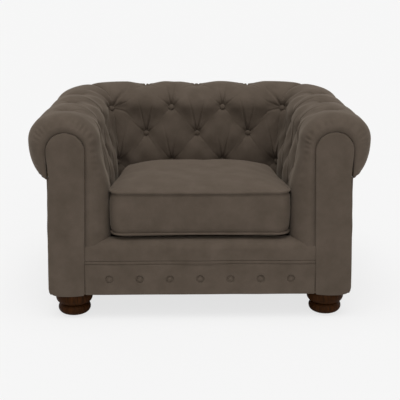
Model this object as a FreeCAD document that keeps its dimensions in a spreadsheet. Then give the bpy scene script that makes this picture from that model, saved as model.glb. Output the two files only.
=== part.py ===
import FreeCAD, Part
import math
import os
import Sketcher

# Chesterfield armchair: one roll of deep-buttoned padding runs round both arms and the back over a
# wooden frame, with a loose seat cushion on a sprung deck and four turned feet.
# Millimetres. +X is the viewer's right, +Y the back, +Z up, and the origin is on the floor under
# the middle of the chair's box.

doc = FreeCAD.newDocument("chesterfield_armchair")
sheet = doc.addObject("Spreadsheet::Sheet", "sizes")

DRIVING_SIZES = (
    ("seat_width", 632, "seat between the arm pads"),
    ("seat_depth", 636, "front plane to the foot of the back pad"),
    ("corner_radius", 30, "inside corner between arm pad and back pad, in plan"),
    ("pad_lean", 30, "how far the inner face leans outwards up to the roll"),
    ("lean_start", 440, "height where the inner face starts to lean"),
    ("roll_width", 244, "width of the roll"),
    ("roll_height", 99, "rise of the roll above its widest level"),
    ("roll_level", 632, "height of the roll's widest level"),
    ("roll_curl", 67, "how far the roll curls back under to the wall"),
    ("curl_drop", 124, "drop from the widest level to the notch under the roll"),
    ("leg_height", 88, "floor to the underside of the body"),
    ("dust_cloth", 1.5, "cloth under the base"),
    ("rail_height", 115, "base rails"),
    ("rail_thickness", 28, "base rails at the walls"),
    ("front_rail_depth", 36, "front base rail"),
    ("inner_rail_thickness", 22, "base rails under the inner faces"),
    ("arch_radius", 66, "rounded top of the arm front"),
    ("arch_level", 602, "centre of that round"),
    ("arch_taper", 0.03, "slope of the arm front's inner edge"),
    ("facing_thickness", 12, "padded panel on the arm front"),
    ("front_board", 22, "board behind that panel"),
    ("rib_thickness", 18, "shaped ribs of arms and back"),
    ("rib_count", 3, "ribs in each arm and in the back"),
    ("liner_thickness", 3, "bent board under the padding"),
    ("cover_thickness", 6.2, "outside panels, cloth on board"),
    ("clearance", 0.3, "gap between a cover and what it lies on"),
    ("batten_width", 50, "batten under the ridge"),
    ("batten_height", 20, "batten under the ridge"),
    ("tack_rail_height", 42, "rail that the outside panels are tacked to"),
    ("tack_rail_thickness", 22, "rail that the outside panels are tacked to"),
    ("pad_base", 262, "lower edge of the arm and back pads"),
    ("front_round", 75, "how far the padding rounds over at the arm front"),
    ("front_band_depth", 150, "smooth front of the arm, up to its crease"),
    ("low_row", 420, "button row behind the cushion, along the padding's outline"),
    ("middle_row", 533, "button row above the cushion"),
    ("shoulder_row", 647, "button row at the foot of the roll"),
    ("ridge_row", 801, "button row on top of the roll"),
    ("tuft_depth", 22, "how deep a button pulls the padding in"),
    ("pleat_depth", 12, "depth of the pleats"),
    ("tuft_seat", 28, "flat under a button"),
    ("roll_relief", 4, "how far the padding flattens at its widest, between pleats"),
    ("button_diameter", 22, "covered buttons of the padding"),
    ("button_height", 6, "covered buttons of the padding"),
    ("seam_level", 211, "seam between front band and lip"),
    ("deck_top", 287, "deck that the cushion lies on"),
    ("lip_depth", 28, "padded front edge of the deck"),
    ("lip_swell", 8, "how far that edge swells forward"),
    ("band_thickness", 6, "front band, cloth on padding"),
    ("band_button_diameter", 24, "flat buttons of the front band"),
    ("band_button_height", 3, "flat buttons of the front band"),
    ("band_button_pitch", 106, "spacing of those buttons"),
    ("band_button_level", 147, "height of those buttons"),
    ("cushion_clearance", 4, "each side of the seat cushion"),
    ("cushion_setback", 24, "front of the cushion behind the front plane"),
    ("cushion_back_gap", 11, "cushion to the foot of the back pad"),
    ("cushion_seam_low", 305, "height of the lower piping"),
    ("cushion_seam_high", 454, "height of the upper piping"),
    ("cushion_crown", 23, "rise of the cushion's top above its piping"),
    ("cushion_corner", 46, "corners of the cushion in plan"),
    ("cushion_draw", 7, "how far the cushion's sides are drawn in"),
    ("piping_diameter", 7, "piping of the cushion"),
    ("foot_top_diameter", 130, "turned foot at its top"),
    ("foot_neck_diameter", 98, "turned foot at its neck"),
    ("foot_bun_diameter", 116, "turned foot at its bun"),
    ("foot_base_diameter", 70, "turned foot where it stands"),
    ("foot_neck_level", 41, "height of the neck"),
    ("foot_side_inset", 74, "front foot's centre inside the side wall"),
    ("foot_front_inset", 67, "front foot's centre behind the front plane"),
    ("rear_foot_side_inset", 82, "rear foot's centre inside the side wall"),
    ("rear_foot_back", 71, "rear foot's centre behind the corner's centre"),
    ("glide_diameter", 36, "felt glide under a foot"),
    ("glide_height", 4, "felt glide under a foot"),
    ("glide_recess", 2, "how far the glide is let into the foot"),
    ("bolt_diameter", 8, "bolt of a foot"),
    ("bolt_reach", 46, "bolt inside the foot"),
    ("nut_flange", 20, "flange of the foot's nut plate"),
    ("nut_thickness", 2, "flange of the foot's nut plate"),
    ("block_height", 50, "corner blocks"),
    ("screw_diameter", 5, "screws of the corner blocks"),
    ("screw_length", 60, "screws of the corner blocks"),
    ("spring_wire", 4, "zigzag seat springs"),
    ("spring_width", 46, "zigzag seat springs"),
    ("spring_pitch", 88, "spacing of the springs"),
    ("spring_bend", 21, "radius of the springs' bends"),
    ("clip_length", 14, "clips of the springs"),
    ("deck_cloth", 1.5, "hessian over the springs"),
)
for row, (alias, default, note) in enumerate(DRIVING_SIZES, 1):
    sheet.set("A%d" % row, note)
    sheet.set("B%d" % row, str(default))
    sheet.setAlias("B%d" % row, alias)
doc.recompute()


def number(rule):
    return float(sheet.evalExpression(rule))


def size(alias):
    return number("sizes." + alias)


# Rules that several pieces share. REACH is outwards from the foot of the padding.
HALF_SEAT = "(sizes.seat_width / 2)"
FRONT = "(-(sizes.seat_depth + sizes.pad_lean + sizes.roll_width) / 2)"
WALL_REACH = "(sizes.pad_lean + sizes.roll_width - sizes.roll_curl)"
FRAME_REACH = f"({WALL_REACH} - sizes.cover_thickness - sizes.clearance)"
ARCH_REACH = f"({WALL_REACH} - 0.5 - sizes.arch_radius)"
BASE = "(sizes.leg_height + sizes.dust_cloth)"
RAIL_TOP = f"({BASE} + sizes.rail_height)"
BOARD_FRONT = f"({FRONT} + sizes.facing_thickness)"
BOARD_BACK = f"({BOARD_FRONT} + sizes.front_board)"
CORNER_X = f"({HALF_SEAT} - sizes.corner_radius)"
CORNER_Y = f"({FRONT} + sizes.seat_depth - sizes.corner_radius)"
BACK_FOOT = f"({FRONT} + sizes.seat_depth)"
INNER_RAIL_REACH = f"({ARCH_REACH} - sizes.arch_radius + (sizes.arch_level - {BASE}) * sizes.arch_taper)"
NOTCH = "(sizes.roll_level - sizes.curl_drop)"
SIDES = (("left", -1), ("right", 1))

half_seat = number(HALF_SEAT)
front = number(FRONT)
wall_reach = number(WALL_REACH)
frame_reach = number(FRAME_REACH)
arch_reach = number(ARCH_REACH)
base = number(BASE)
rail_top = number(RAIL_TOP)
board_front = number(BOARD_FRONT)
board_back = number(BOARD_BACK)
corner_x = number(CORNER_X)
corner_y = number(CORNER_Y)
back_foot = number(BACK_FOOT)
inner_rail_reach = number(INNER_RAIL_REACH)
clearance = size("clearance")
nodes = []


def keep(piece, label):
    piece.Label = label
    nodes.append(piece)
    return piece


def feature(label, shape):
    piece = doc.addObject("Part::Feature", label)
    piece.Shape = shape
    return keep(piece, label)


def box(label, x, y, z, length, width, height):
    piece = doc.addObject("Part::Box", label)
    rules = {"Length": length, "Width": width, "Height": height, "Placement.Base.x": x,
             "Placement.Base.y": y, "Placement.Base.z": z}
    for name, rule in rules.items():
        piece.setExpression(name, rule)
    return piece


def arm_box(label, side, reach, y, z, thickness, length, height):
    """A box along an arm, its inner face at a reach outside the foot of the padding."""
    x = f"{HALF_SEAT} + {reach}"
    if side < 0:
        x = f"-({x}) - {thickness}"
    return box(label, x, y, z, thickness, length, height)


def solids(shapes):
    return Part.makeCompound([solid for shape in shapes for solid in shape.Solids])


# Base frame
# Hardwood rails on edge. The front rail lies between the arm fronts, the wall rails carry the
# outside panels, and the inner rails carry the ribs and the springs.
back_rail = box("back_rail", f"-{CORNER_X}",
                f"{BACK_FOOT} + {FRAME_REACH} - sizes.rail_thickness", BASE,
                f"2 * {CORNER_X}", "sizes.rail_thickness", "sizes.rail_height")
keep(back_rail, "back_rail")
side_rails = {}
inner_rails = {}
for name, side in SIDES:
    rail = arm_box(f"{name}_side_rail", side, f"({FRAME_REACH} - sizes.rail_thickness)",
                   BOARD_BACK, BASE, "sizes.rail_thickness", f"{CORNER_Y} - {BOARD_BACK}",
                   "sizes.rail_height")
    side_rails[side] = rail
    inner = arm_box(f"{name}_inner_rail", side, INNER_RAIL_REACH, BOARD_BACK, BASE,
                    "sizes.inner_rail_thickness",
                    f"{BACK_FOOT} + {INNER_RAIL_REACH} + sizes.inner_rail_thickness"
                    f" - {BOARD_BACK}", "sizes.rail_height")
    inner_rails[side] = keep(inner, f"{name}_inner_rail")
rear_inner_rail = box("rear_inner_rail", f"-{HALF_SEAT} - {INNER_RAIL_REACH}",
                      f"{BACK_FOOT} + {INNER_RAIL_REACH}", BASE,
                      f"2 * ({HALF_SEAT} + {INNER_RAIL_REACH})", "sizes.inner_rail_thickness",
                      "sizes.rail_height")
keep(rear_inner_rail, "rear_inner_rail")
doc.recompute()


FACET_GAP = 0.5


def corner_ring(side, inner_reach, outer_reach, low, high):
    """A quarter ring round a rear corner, clear of the flats of what is bent round it."""
    start = FreeCAD.Vector(side * corner_x, corner_y, low)
    rings = [Part.makeCylinder(size("corner_radius") + reach, high - low, start,
                               FreeCAD.Vector(0, 0, 1), 90) for reach in (outer_reach - FACET_GAP, inner_reach)]
    ring = rings[0].cut(rings[1])
    if side < 0:
        ring.rotate(start, FreeCAD.Vector(0, 0, 1), 90)
    return ring


corner_rails = {}
for name, side in SIDES:
    corner_rails[side] = corner_ring(side, frame_reach - size("rail_thickness"), frame_reach, base,
                                     rail_top)

# Corner blocks, feet and their bolts
# A block fills each corner of the base. A bolt comes up out of the turned foot, through the block,
# and is held by a nut plate on top. Screws hold the blocks to the rails.
front_foot_x = half_seat + wall_reach - size("foot_side_inset")
front_foot_y = front + size("foot_front_inset")
rear_foot_x = half_seat + wall_reach - size("rear_foot_side_inset")
rear_foot_y = corner_y + size("rear_foot_back")
foot_places = [("left_front", -front_foot_x, front_foot_y), ("right_front", front_foot_x, front_foot_y),
               ("left_rear", -rear_foot_x, rear_foot_y), ("right_rear", rear_foot_x, rear_foot_y)]
block_inner = half_seat + inner_rail_reach + size("inner_rail_thickness")
block_outer = half_seat + frame_reach - size("rail_thickness")
block_top = base + size("block_height")
bolt_foot = size("leg_height") - size("bolt_reach")
bolt_top = block_top + size("nut_thickness") + size("bolt_diameter")
UP = FreeCAD.Vector(0, 0, 1)


def upright(x, y, low, high, diameter):
    return Part.makeCylinder(diameter / 2, high - low, FreeCAD.Vector(x, y, low), UP)


def foot_solid(x, y):
    """The foot's outline, two rounds either side of a neck, turned about its own axis."""
    low = size("glide_recess")
    top = size("leg_height")
    neck_level = size("foot_neck_level")
    foot_base = size("foot_base_diameter") / 2
    neck = size("foot_neck_diameter") / 2
    bun = size("foot_bun_diameter") / 2
    rim = size("foot_top_diameter") / 2
    cove = 4
    outline = [(0, low), (foot_base, low), (bun, neck_level / 2), (neck, neck_level - cove / 2),
               (neck, neck_level + cove / 2), (rim, top - cove), (rim, top), (0, top)]
    corner = [FreeCAD.Vector(x + across, y, level) for across, level in outline]
    lower_mid = FreeCAD.Vector(x + (foot_base + bun) / 2 + cove, y, neck_level * 0.19)
    upper_mid = FreeCAD.Vector(x + bun * 0.97, y, neck_level * 0.78)
    ovolo_mid = FreeCAD.Vector(x + (neck + rim) / 2 + cove, y, (neck_level + top) / 2 - cove)
    edges = [Part.makeLine(corner[0], corner[1]),
             Part.Arc(corner[1], lower_mid, corner[2]).toShape(),
             Part.Arc(corner[2], upper_mid, corner[3]).toShape(),
             Part.makeLine(corner[3], corner[4]),
             Part.Arc(corner[4], ovolo_mid, corner[5]).toShape(),
             Part.makeLine(corner[5], corner[6]), Part.makeLine(corner[6], corner[7]),
             Part.makeLine(corner[7], corner[0])]
    turned = Part.Face(Part.Wire(edges)).revolve(corner[0], UP, 360)
    return turned


bolt_holes = solids([upright(x, y, 0, bolt_top, size("bolt_diameter") + 2 * clearance)
                     for name, x, y in foot_places])
glides = solids([upright(x, y, 0, size("glide_height"), size("glide_diameter"))
                 for name, x, y in foot_places])
for name, x, y in foot_places:
    bore = upright(x, y, bolt_foot, size("leg_height"), size("bolt_diameter") + 2 * clearance)
    foot = foot_solid(x, y).cut(bore)
    feature(f"{name}_foot", foot.cut(glides))
feature("foot_glides", glides)
feature("foot_bolts", solids([upright(x, y, bolt_foot, bolt_top, size("bolt_diameter"))
                              for name, x, y in foot_places]))
nut_plates = [upright(x, y, block_top, block_top + size("nut_thickness"), size("nut_flange"))
              .cut(upright(x, y, block_top, block_top + size("nut_thickness"),
                           size("bolt_diameter") + 2 * clearance)) for name, x, y in foot_places]
feature("foot_nut_plates", solids(nut_plates))

blocks = []
screws = []
for name, side in SIDES:
    block_width = block_outer - block_inner
    front_block = Part.makeBox(block_width, 2 * (front_foot_y - board_back), size("block_height"),
                               FreeCAD.Vector(min(side * block_inner, side * block_outer), board_back,
                                              base))
    rear_start = corner_y - block_width / 2
    rear_end = back_foot + inner_rail_reach + size("inner_rail_thickness")
    rear_block = Part.makeBox(block_width, rear_end - rear_start, size("block_height"),
                              FreeCAD.Vector(min(side * block_inner, side * block_outer), rear_start,
                                             base))
    room = Part.makeCylinder(size("corner_radius") + frame_reach - size("rail_thickness"),
                             size("block_height"), FreeCAD.Vector(side * corner_x, corner_y, base), UP)
    lane = Part.makeBox(block_width, corner_y - rear_start, size("block_height"),
                        FreeCAD.Vector(min(side * block_inner, side * block_outer), rear_start, base))
    blocks += [front_block, rear_block.common(room.fuse(lane))]
    level = base + size("block_height") / 2
    for y in (board_back + size("screw_length"), corner_y - size("screw_diameter") * 2):
        start = FreeCAD.Vector(side * (half_seat + frame_reach), y, level)
        screws.append(Part.makeCylinder(size("screw_diameter") / 2, size("screw_length"), start,
                                        FreeCAD.Vector(-side, 0, 0)))
screw_holes = solids(screws)
feature("corner_blocks", solids([block.cut(bolt_holes).cut(screw_holes) for block in blocks]))
feature("block_screws", screw_holes)
for name, side in SIDES:
    blank = side_rails[side].Shape.cut(screw_holes)
    doc.removeObject(side_rails[side].Name)
    feature(f"{name}_side_rail", blank)
    feature(f"{name}_corner_rail", corner_rails[side])

# Outline of the padding and of the wooden arch under it
# Both are curves in a plane across the arm or back: reach outwards, height upwards. The same
# outline is carried round both arms, the rear corners and the back.
roll_half = size("roll_width") / 2
roll_centre = size("pad_lean") + roll_half
roll_mean = (roll_half + size("roll_height")) / 2
curl_mean = (size("roll_curl") + size("curl_drop")) / 2
outline_end = size("roll_level") + math.pi * roll_mean + 1.33 * curl_mean
hollow_radius = size("arch_radius") + clearance + 0.5
tuft = size("tuft_depth")
pleat = size("pleat_depth")
seat = size("tuft_seat") / 2
SLACK = 1.5


def padding_point(travel):
    """Outside of the padding: up the leaning inner face, over the roll, curling under it."""
    level = size("roll_level")
    if travel <= level:
        rise = min(max((travel - size("lean_start")) / (level - size("lean_start")), 0), 1)
        return size("pad_lean") * rise * rise * (3 - 2 * rise), travel
    turn = (travel - level) / roll_mean
    if turn <= math.pi:
        return roll_centre - roll_half * math.cos(turn), level + size("roll_height") * math.sin(turn)
    drop = (travel - level - math.pi * roll_mean) / curl_mean
    return (wall_reach + size("roll_curl") * math.cos(drop), level - size("curl_drop") * math.sin(drop))


def inner_edge(height, inset=0.0):
    """Reach of the arch's inner edge at a height."""
    lean = (size("arch_level") - height) * size("arch_taper")
    return arch_reach - hollow_radius + lean + inset


def hollow_point(reach, height):
    """The point of the hollow under the padding that is nearest to a point outside it."""
    if height < size("arch_level"):
        if reach < arch_reach:
            return inner_edge(height), height
        return arch_reach + hollow_radius, height
    across = reach - arch_reach
    up = height - size("arch_level")
    far = math.hypot(across, up)
    return (arch_reach + across / far * hollow_radius, size("arch_level") + up / far * hollow_radius)


def padded_point(travel, inset, fullness):
    """A point of the padding, drawn towards the hollow by an inset and by a lack of fullness."""
    reach, height = padding_point(travel)
    inner_reach, inner_height = hollow_point(reach, height)
    thick = math.hypot(reach - inner_reach, height - inner_height)
    share = fullness * (1 - inset / thick)
    return (inner_reach + (reach - inner_reach) * share, inner_height + (height - inner_height) * share)


def arch_edges(place, inset, low_inner, low_outer):
    """The arch from its outer foot over the top to its inner foot, as lines and arcs."""
    radius = hollow_radius - inset
    level = size("arch_level")
    slant = radius * math.sqrt(0.5)
    top = place(arch_reach, level + radius)
    outer = place(arch_reach + radius, level)
    inner = place(arch_reach - radius, level)
    return [Part.makeLine(place(arch_reach + radius, low_outer), outer),
            Part.Arc(outer, place(arch_reach + slant, level + slant), top).toShape(),
            Part.Arc(top, place(arch_reach - slant, level + slant), inner).toShape(),
            Part.makeLine(inner, place(inner_edge(low_inner, inset), low_inner))]


def blend(start, end, share):
    return start + (end - start) * share


def pad_section(place, even, depth, fullness, crease):
    """One closed outline across the padding.

    even is 0 in a column whose buttons are in the low and shoulder rows, and 1 in a column with
    buttons in the middle and ridge rows. depth fades the tufting out, crease pulls all of it in.
    """
    odd = 1 - even
    low, middle = size("low_row"), size("middle_row")
    shoulder, ridge = size("shoulder_row"), size("ridge_row")
    along = blend(tuft, pleat, 4 * even * odd)
    bounds = [(size("pad_base"), pleat * odd ** 2), (low - seat, tuft * odd ** 2),
              (blend(low + seat, middle - seat, even), along),
              (blend(shoulder - seat, middle + seat, even), along),
              (blend(shoulder + seat, ridge - seat, even), along),
              (ridge + seat, tuft * even ** 2), (outline_end, pleat / 4 * even ** 2)]
    odd_seat = tuft * max(0, 1 - 2 * even) ** 2
    even_seat = tuft * max(0, 1 - 2 * odd) ** 2
    crowns = [pleat * odd ** 2, odd_seat, even_seat, odd_seat, even_seat,
              pleat * even ** 2 + size("roll_relief") * odd]
    points = [place(*padded_point(travel, SLACK + max(inset * depth, crease * (travel < outline_end)),
                                  fullness)) for travel, inset in bounds]
    edges = []
    for index, crown in enumerate(crowns):
        travel = (bounds[index][0] + bounds[index + 1][0]) / 2
        top = place(*padded_point(travel, max(crown * depth, crease), fullness))
        edges.append(Part.Arc(points[index], top, points[index + 1]).toShape())
    end_height = padded_point(outline_end, 0, 1)[1]
    under = arch_edges(place, 0, size("pad_base"), end_height)
    edges.append(Part.makeLine(points[-1], under[0].firstVertex().Point))
    edges += under
    edges.append(Part.makeLine(under[-1].lastVertex().Point, points[0]))
    return Part.Wire(edges)


def arm_station(side, travel, back_off=0.0):
    """Where the outline stands at a distance along the arm's foot, and which way it faces."""
    straight = size("seat_depth") - size("corner_radius")
    angle = max(travel - straight, 0) / size("corner_radius")
    x = side * (corner_x + size("corner_radius") * math.cos(angle)) + side * back_off * math.sin(angle)
    y = (front + min(travel, straight) + size("corner_radius") * math.sin(angle)
         - back_off * math.cos(angle))
    return x, y, side * math.cos(angle), math.sin(angle)


def back_station(travel, back_off=0.0):
    """The same along the back's foot, from its middle."""
    side = 1 if travel > 0 else -1
    angle = max(abs(travel) - corner_x, 0) / size("corner_radius")
    x = side * (min(abs(travel), corner_x) + size("corner_radius") * math.sin(angle)
                - back_off * math.cos(angle))
    y = corner_y + size("corner_radius") * math.cos(angle) + back_off * math.sin(angle)
    return x, y, side * math.sin(angle), math.cos(angle)


def placer(station):
    x, y, toward_x, toward_y = station
    return lambda reach, height: FreeCAD.Vector(x + reach * toward_x, y + reach * toward_y, height)


def even_share(travel, columns):
    """How far a place lies towards an even column, with a flat as wide as a tuft at each column."""
    for (start, start_even), (end, end_even) in zip(columns, columns[1:]):
        if start <= travel <= end:
            share = (travel - start - seat) / (end - start - 2 * seat)
            return blend(start_even, end_even, min(max(share, 0), 1))
    return columns[0][1] if travel < columns[0][0] else columns[-1][1]


def spread(columns, bend_start, mitre):
    """Places of the sections: both sides of each tuft, between the tufts, and round the corner."""
    places = []
    for (start, _), (end, _) in zip(columns, columns[1:]):
        gap = end - start
        places += [start + seat, start + gap * 0.35, start + gap * 0.5, start + gap * 0.65, end - seat]
    places = [place for place in places if place < bend_start] + bend_places(bend_start, mitre)
    places.sort()
    kept = [places[0]]
    for place in places[1:]:
        if place - kept[-1] > 1.5:
            kept.append(place)
    kept[-1] = mitre
    return kept


def bend_places(bend_start, mitre):
    """The sections round a corner, up to the mitre."""
    return [blend(bend_start, mitre, step / BENDS) for step in range(BENDS + 1)]


ARM_COLUMNS = 5
BACK_COLUMNS = 3
BENDS = 6
arm_straight = size("seat_depth") - size("corner_radius")
eighth_turn = size("corner_radius") * math.pi / 4
arm_mitre = arm_straight + eighth_turn
back_mitre = corner_x + eighth_turn
arm_pitch = (arm_mitre - size("front_band_depth")) / ARM_COLUMNS
back_pitch = back_mitre / BACK_COLUMNS
arm_columns = [(arm_mitre - arm_pitch * count, (count % 2)) for count in range(ARM_COLUMNS, -1, -1)]
back_columns = [(back_pitch * count, 1 - count % 2) for count in range(BACK_COLUMNS + 1)]


def arm_pad(side):
    sections = []
    pad_front = size("facing_thickness") + clearance
    for share in (0.06, 0.22, 0.5, 1.0):
        travel = pad_front + (share - 0.06) * size("front_round")
        fullness = math.sqrt(1 - (1 - share) ** 2)
        sections.append(pad_section(placer(arm_station(side, travel)), 1, 0, fullness, 0))
    first = arm_columns[0][0]
    for travel, depth, crease in ((first - 2 * seat, 0.15, 0), (first - seat, 1, 0),
                                  (first, 1, pleat * 0.6)):
        sections.append(pad_section(placer(arm_station(side, travel)), 1, depth, 1, crease))
    for travel in spread(arm_columns, arm_straight, arm_mitre):
        back_off = clearance / 2 if travel == arm_mitre else 0
        sections.append(pad_section(placer(arm_station(side, travel, back_off)),
                                    even_share(travel, arm_columns), 1, 1, 0))
    return Part.makeLoft(sections, True, True)


def back_pad():
    half = spread(back_columns, corner_x, back_mitre)
    sections = []
    for travel in [-place for place in reversed(half)] + half:
        back_off = clearance / 2 if abs(travel) == back_mitre else 0
        sections.append(pad_section(placer(back_station(travel, back_off)),
                                    even_share(abs(travel), back_columns), 1, 1, 0))
    return Part.makeLoft(sections, True, True)


for name, side in SIDES:
    feature(f"{name}_arm_pad", arm_pad(side))
feature("back_pad", back_pad())


# Covered buttons of the padding
# Domed buttons sunk into the tufts, one on each flat, square to the padding there.
def tuft_button(station, row, bend=0.0):
    """A button on its tuft's flat. Where the flat is bent in plan, the button is lifted clear."""
    place = placer(station)
    lower = padded_point(row - seat, tuft + SLACK, 1)
    upper = padded_point(row + seat, tuft + SLACK, 1)
    outward = place(lower[0] - (upper[1] - lower[1]), lower[1] + upper[0] - lower[0]) - place(*lower)
    outward.normalize()
    seat_point = place(*padded_point(row, tuft, 1)) + outward * clearance
    radius = size("button_diameter") / 2
    if bend:
        seat_point = seat_point + outward * (bend - math.sqrt(bend ** 2 - radius ** 2) + clearance)
    disc = Part.makeCylinder(radius, size("button_height"), seat_point, outward)
    rim = [edge for edge in disc.Edges if len(edge.Vertexes) == 1
           and (edge.CenterOfMass - seat_point).dot(outward) > size("button_height") / 2]
    return disc.makeFillet(size("button_height") * 0.6, rim)


def column_rows(even):
    return ("middle_row", "ridge_row") if even else ("low_row", "shoulder_row")


back_buttons = []
for travel, even in back_columns[:-1]:
    for row in column_rows(even):
        for place in sorted({travel, -travel}):
            back_buttons.append(tuft_button(back_station(place), size(row)))
for name, side in SIDES:
    arm_buttons = [tuft_button(arm_station(side, travel), size(row))
                   for travel, even in arm_columns[:-1] for row in column_rows(even)]
    feature(f"{name}_arm_buttons", solids(arm_buttons))
    for row in column_rows(arm_columns[-1][1]):
        bend = size("corner_radius") + padded_point(size(row), tuft, 1)[0]
        back_buttons.append(tuft_button(arm_station(side, arm_mitre), size(row), bend))
feature("back_buttons", solids(back_buttons))

# Upper frame
# Shaped ribs stand on the base rails. A batten under the ridge and a tack rail at the wall are
# let into them, and a thin board is bent over them to carry the padding.
batten_top = size("arch_level") + math.sqrt(
    (hollow_radius - 2 * clearance - size("liner_thickness")) ** 2 - (size("batten_width") / 2) ** 2) - 1
batten_low = batten_top - size("batten_height")
tack_top = number(NOTCH) + 3
tack_low = tack_top - size("tack_rail_height")
tack_reach = frame_reach - size("tack_rail_thickness")
batten_reach = arch_reach - size("batten_width") / 2


def rib(station, thickness, along, slack=0.0):
    """A rib: the arch's outline over the base rails, cut straight at the wall."""
    place = placer(station)
    inset = clearance * 2 + size("liner_thickness") + slack
    edges = arch_edges(place, inset, rail_top, rail_top)
    edges.append(Part.makeLine(edges[-1].lastVertex().Point, edges[0].firstVertex().Point))
    plate = Part.Face(Part.Wire(edges)).extrude(along * thickness)
    plate.translate(along * (-thickness / 2))
    depth = wall_reach - frame_reach + size("arch_radius")
    x, y, toward_x, toward_y = station
    outside = Part.makeBox(depth, 4 * thickness, size("roll_level"),
                           FreeCAD.Vector(frame_reach - slack, -2 * thickness, 0))
    outside.rotate(FreeCAD.Vector(0, 0, 0), UP, math.degrees(math.atan2(toward_y, toward_x)))
    outside.translate(FreeCAD.Vector(x, y, 0))
    return plate.cut(outside)


rib_count = int(size("rib_count"))
top_rails = []
for name, side in SIDES:
    batten = Part.makeBox(size("batten_width"), corner_y - board_back, size("batten_height"),
                          FreeCAD.Vector(side * (half_seat + arch_reach) - size("batten_width") / 2,
                                         board_back, batten_low))
    tack_edge = min(side * (half_seat + tack_reach), side * (half_seat + frame_reach))
    tack = Part.makeBox(size("tack_rail_thickness"), corner_y - board_back, size("tack_rail_height"),
                        FreeCAD.Vector(tack_edge, board_back, tack_low))
    feature(f"{name}_arm_batten", batten)
    feature(f"{name}_arm_tack_rail", tack)
    ribs = []
    for count in range(1, rib_count + 1):
        travel = blend(size("facing_thickness") + size("front_board"), arm_straight,
                       count / rib_count) - size("rib_thickness") / 2
        ribs.append(rib(arm_station(side, travel), size("rib_thickness"), FreeCAD.Vector(0, 1, 0))
                    .cut(batten).cut(tack))
    feature(f"{name}_arm_ribs", solids(ribs))
    top_rails += [corner_ring(side, batten_reach, batten_reach + size("batten_width"), batten_low,
                              batten_top),
                  corner_ring(side, tack_reach, frame_reach, tack_low, tack_top)]
feature("corner_top_rails", solids(top_rails))
back_batten = Part.makeBox(2 * corner_x, size("batten_width"), size("batten_height"),
                           FreeCAD.Vector(-corner_x, back_foot + batten_reach, batten_low))
back_tack = Part.makeBox(2 * corner_x, size("tack_rail_thickness"), size("tack_rail_height"),
                         FreeCAD.Vector(-corner_x, back_foot + tack_reach, tack_low))
feature("back_batten", back_batten)
feature("back_tack_rail", back_tack)
back_ribs = []
for count in range(rib_count):
    travel = blend(-1, 1, count / (rib_count - 1)) * (corner_x - size("rib_thickness") / 2)
    back_ribs.append(rib(back_station(travel), size("rib_thickness"), FreeCAD.Vector(1, 0, 0))
                     .cut(back_batten).cut(back_tack))
feature("back_ribs", solids(back_ribs))
corner_ribs = []
for name, side in SIDES:
    station = arm_station(side, arm_mitre)
    along = FreeCAD.Vector(-side * station[3], side * station[2], 0)
    plate = rib(station, size("rib_thickness"), along, FACET_GAP)
    for rail in top_rails:
        plate = plate.cut(rail)
    corner_ribs.append(plate)
feature("corner_ribs", solids(corner_ribs))


def liner_wire(place, outer_foot):
    """The bent board's own section: out over the arch and back at its thickness."""
    outer = arch_edges(place, clearance, size("pad_base"), outer_foot)
    inner = arch_edges(place, clearance + size("liner_thickness"), size("pad_base"), outer_foot)
    feet = [Part.makeLine(outer[0].firstVertex().Point, inner[0].firstVertex().Point),
            Part.makeLine(outer[-1].lastVertex().Point, inner[-1].lastVertex().Point)]
    return Part.Wire(Part.__sortEdges__(outer + inner + feet))


liner_foot = tack_top + clearance


def carried(profile, stations):
    """A section carried along the chair from station to station, as one ruled solid."""
    return Part.makeLoft([profile(placer(station)) for station in stations], True, True)


def arm_run(profile, side, start):
    stations = [arm_station(side, start)]
    for travel in bend_places(arm_straight, arm_mitre):
        stations.append(arm_station(side, travel, clearance / 2 if travel == arm_mitre else 0))
    return carried(profile, stations)


def back_run(profile):
    half = [back_station(travel, clearance / 2 if travel == back_mitre else 0)
            for travel in bend_places(corner_x, back_mitre)]
    mirrored = [(-x, y, -toward_x, toward_y) for x, y, toward_x, toward_y in reversed(half)]
    return carried(profile, mirrored + half)


liner_profile = lambda place: liner_wire(place, liner_foot)
board_depth = size("facing_thickness") + size("front_board") + clearance
for name, side in SIDES:
    feature(f"{name}_arm_liner", arm_run(liner_profile, side, board_depth))
feature("back_liner", back_run(liner_profile))

# Outside panels
# Cloth over board, from the underside of the base to the notch under the roll. They meet at the
# rear corners on the mitre.
panel_inner = frame_reach + clearance
panel_top = padded_point(outline_end, 0, 1)[1] - clearance


def panel_wire(place):
    corners = [place(panel_inner, base), place(wall_reach, base), place(wall_reach, panel_top),
               place(panel_inner, panel_top)]
    return Part.makePolygon(corners + corners[:1])


for name, side in SIDES:
    feature(f"{name}_outside_panel", arm_run(panel_wire, side, size("facing_thickness")))
feature("outside_back_panel", back_run(panel_wire))


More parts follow.
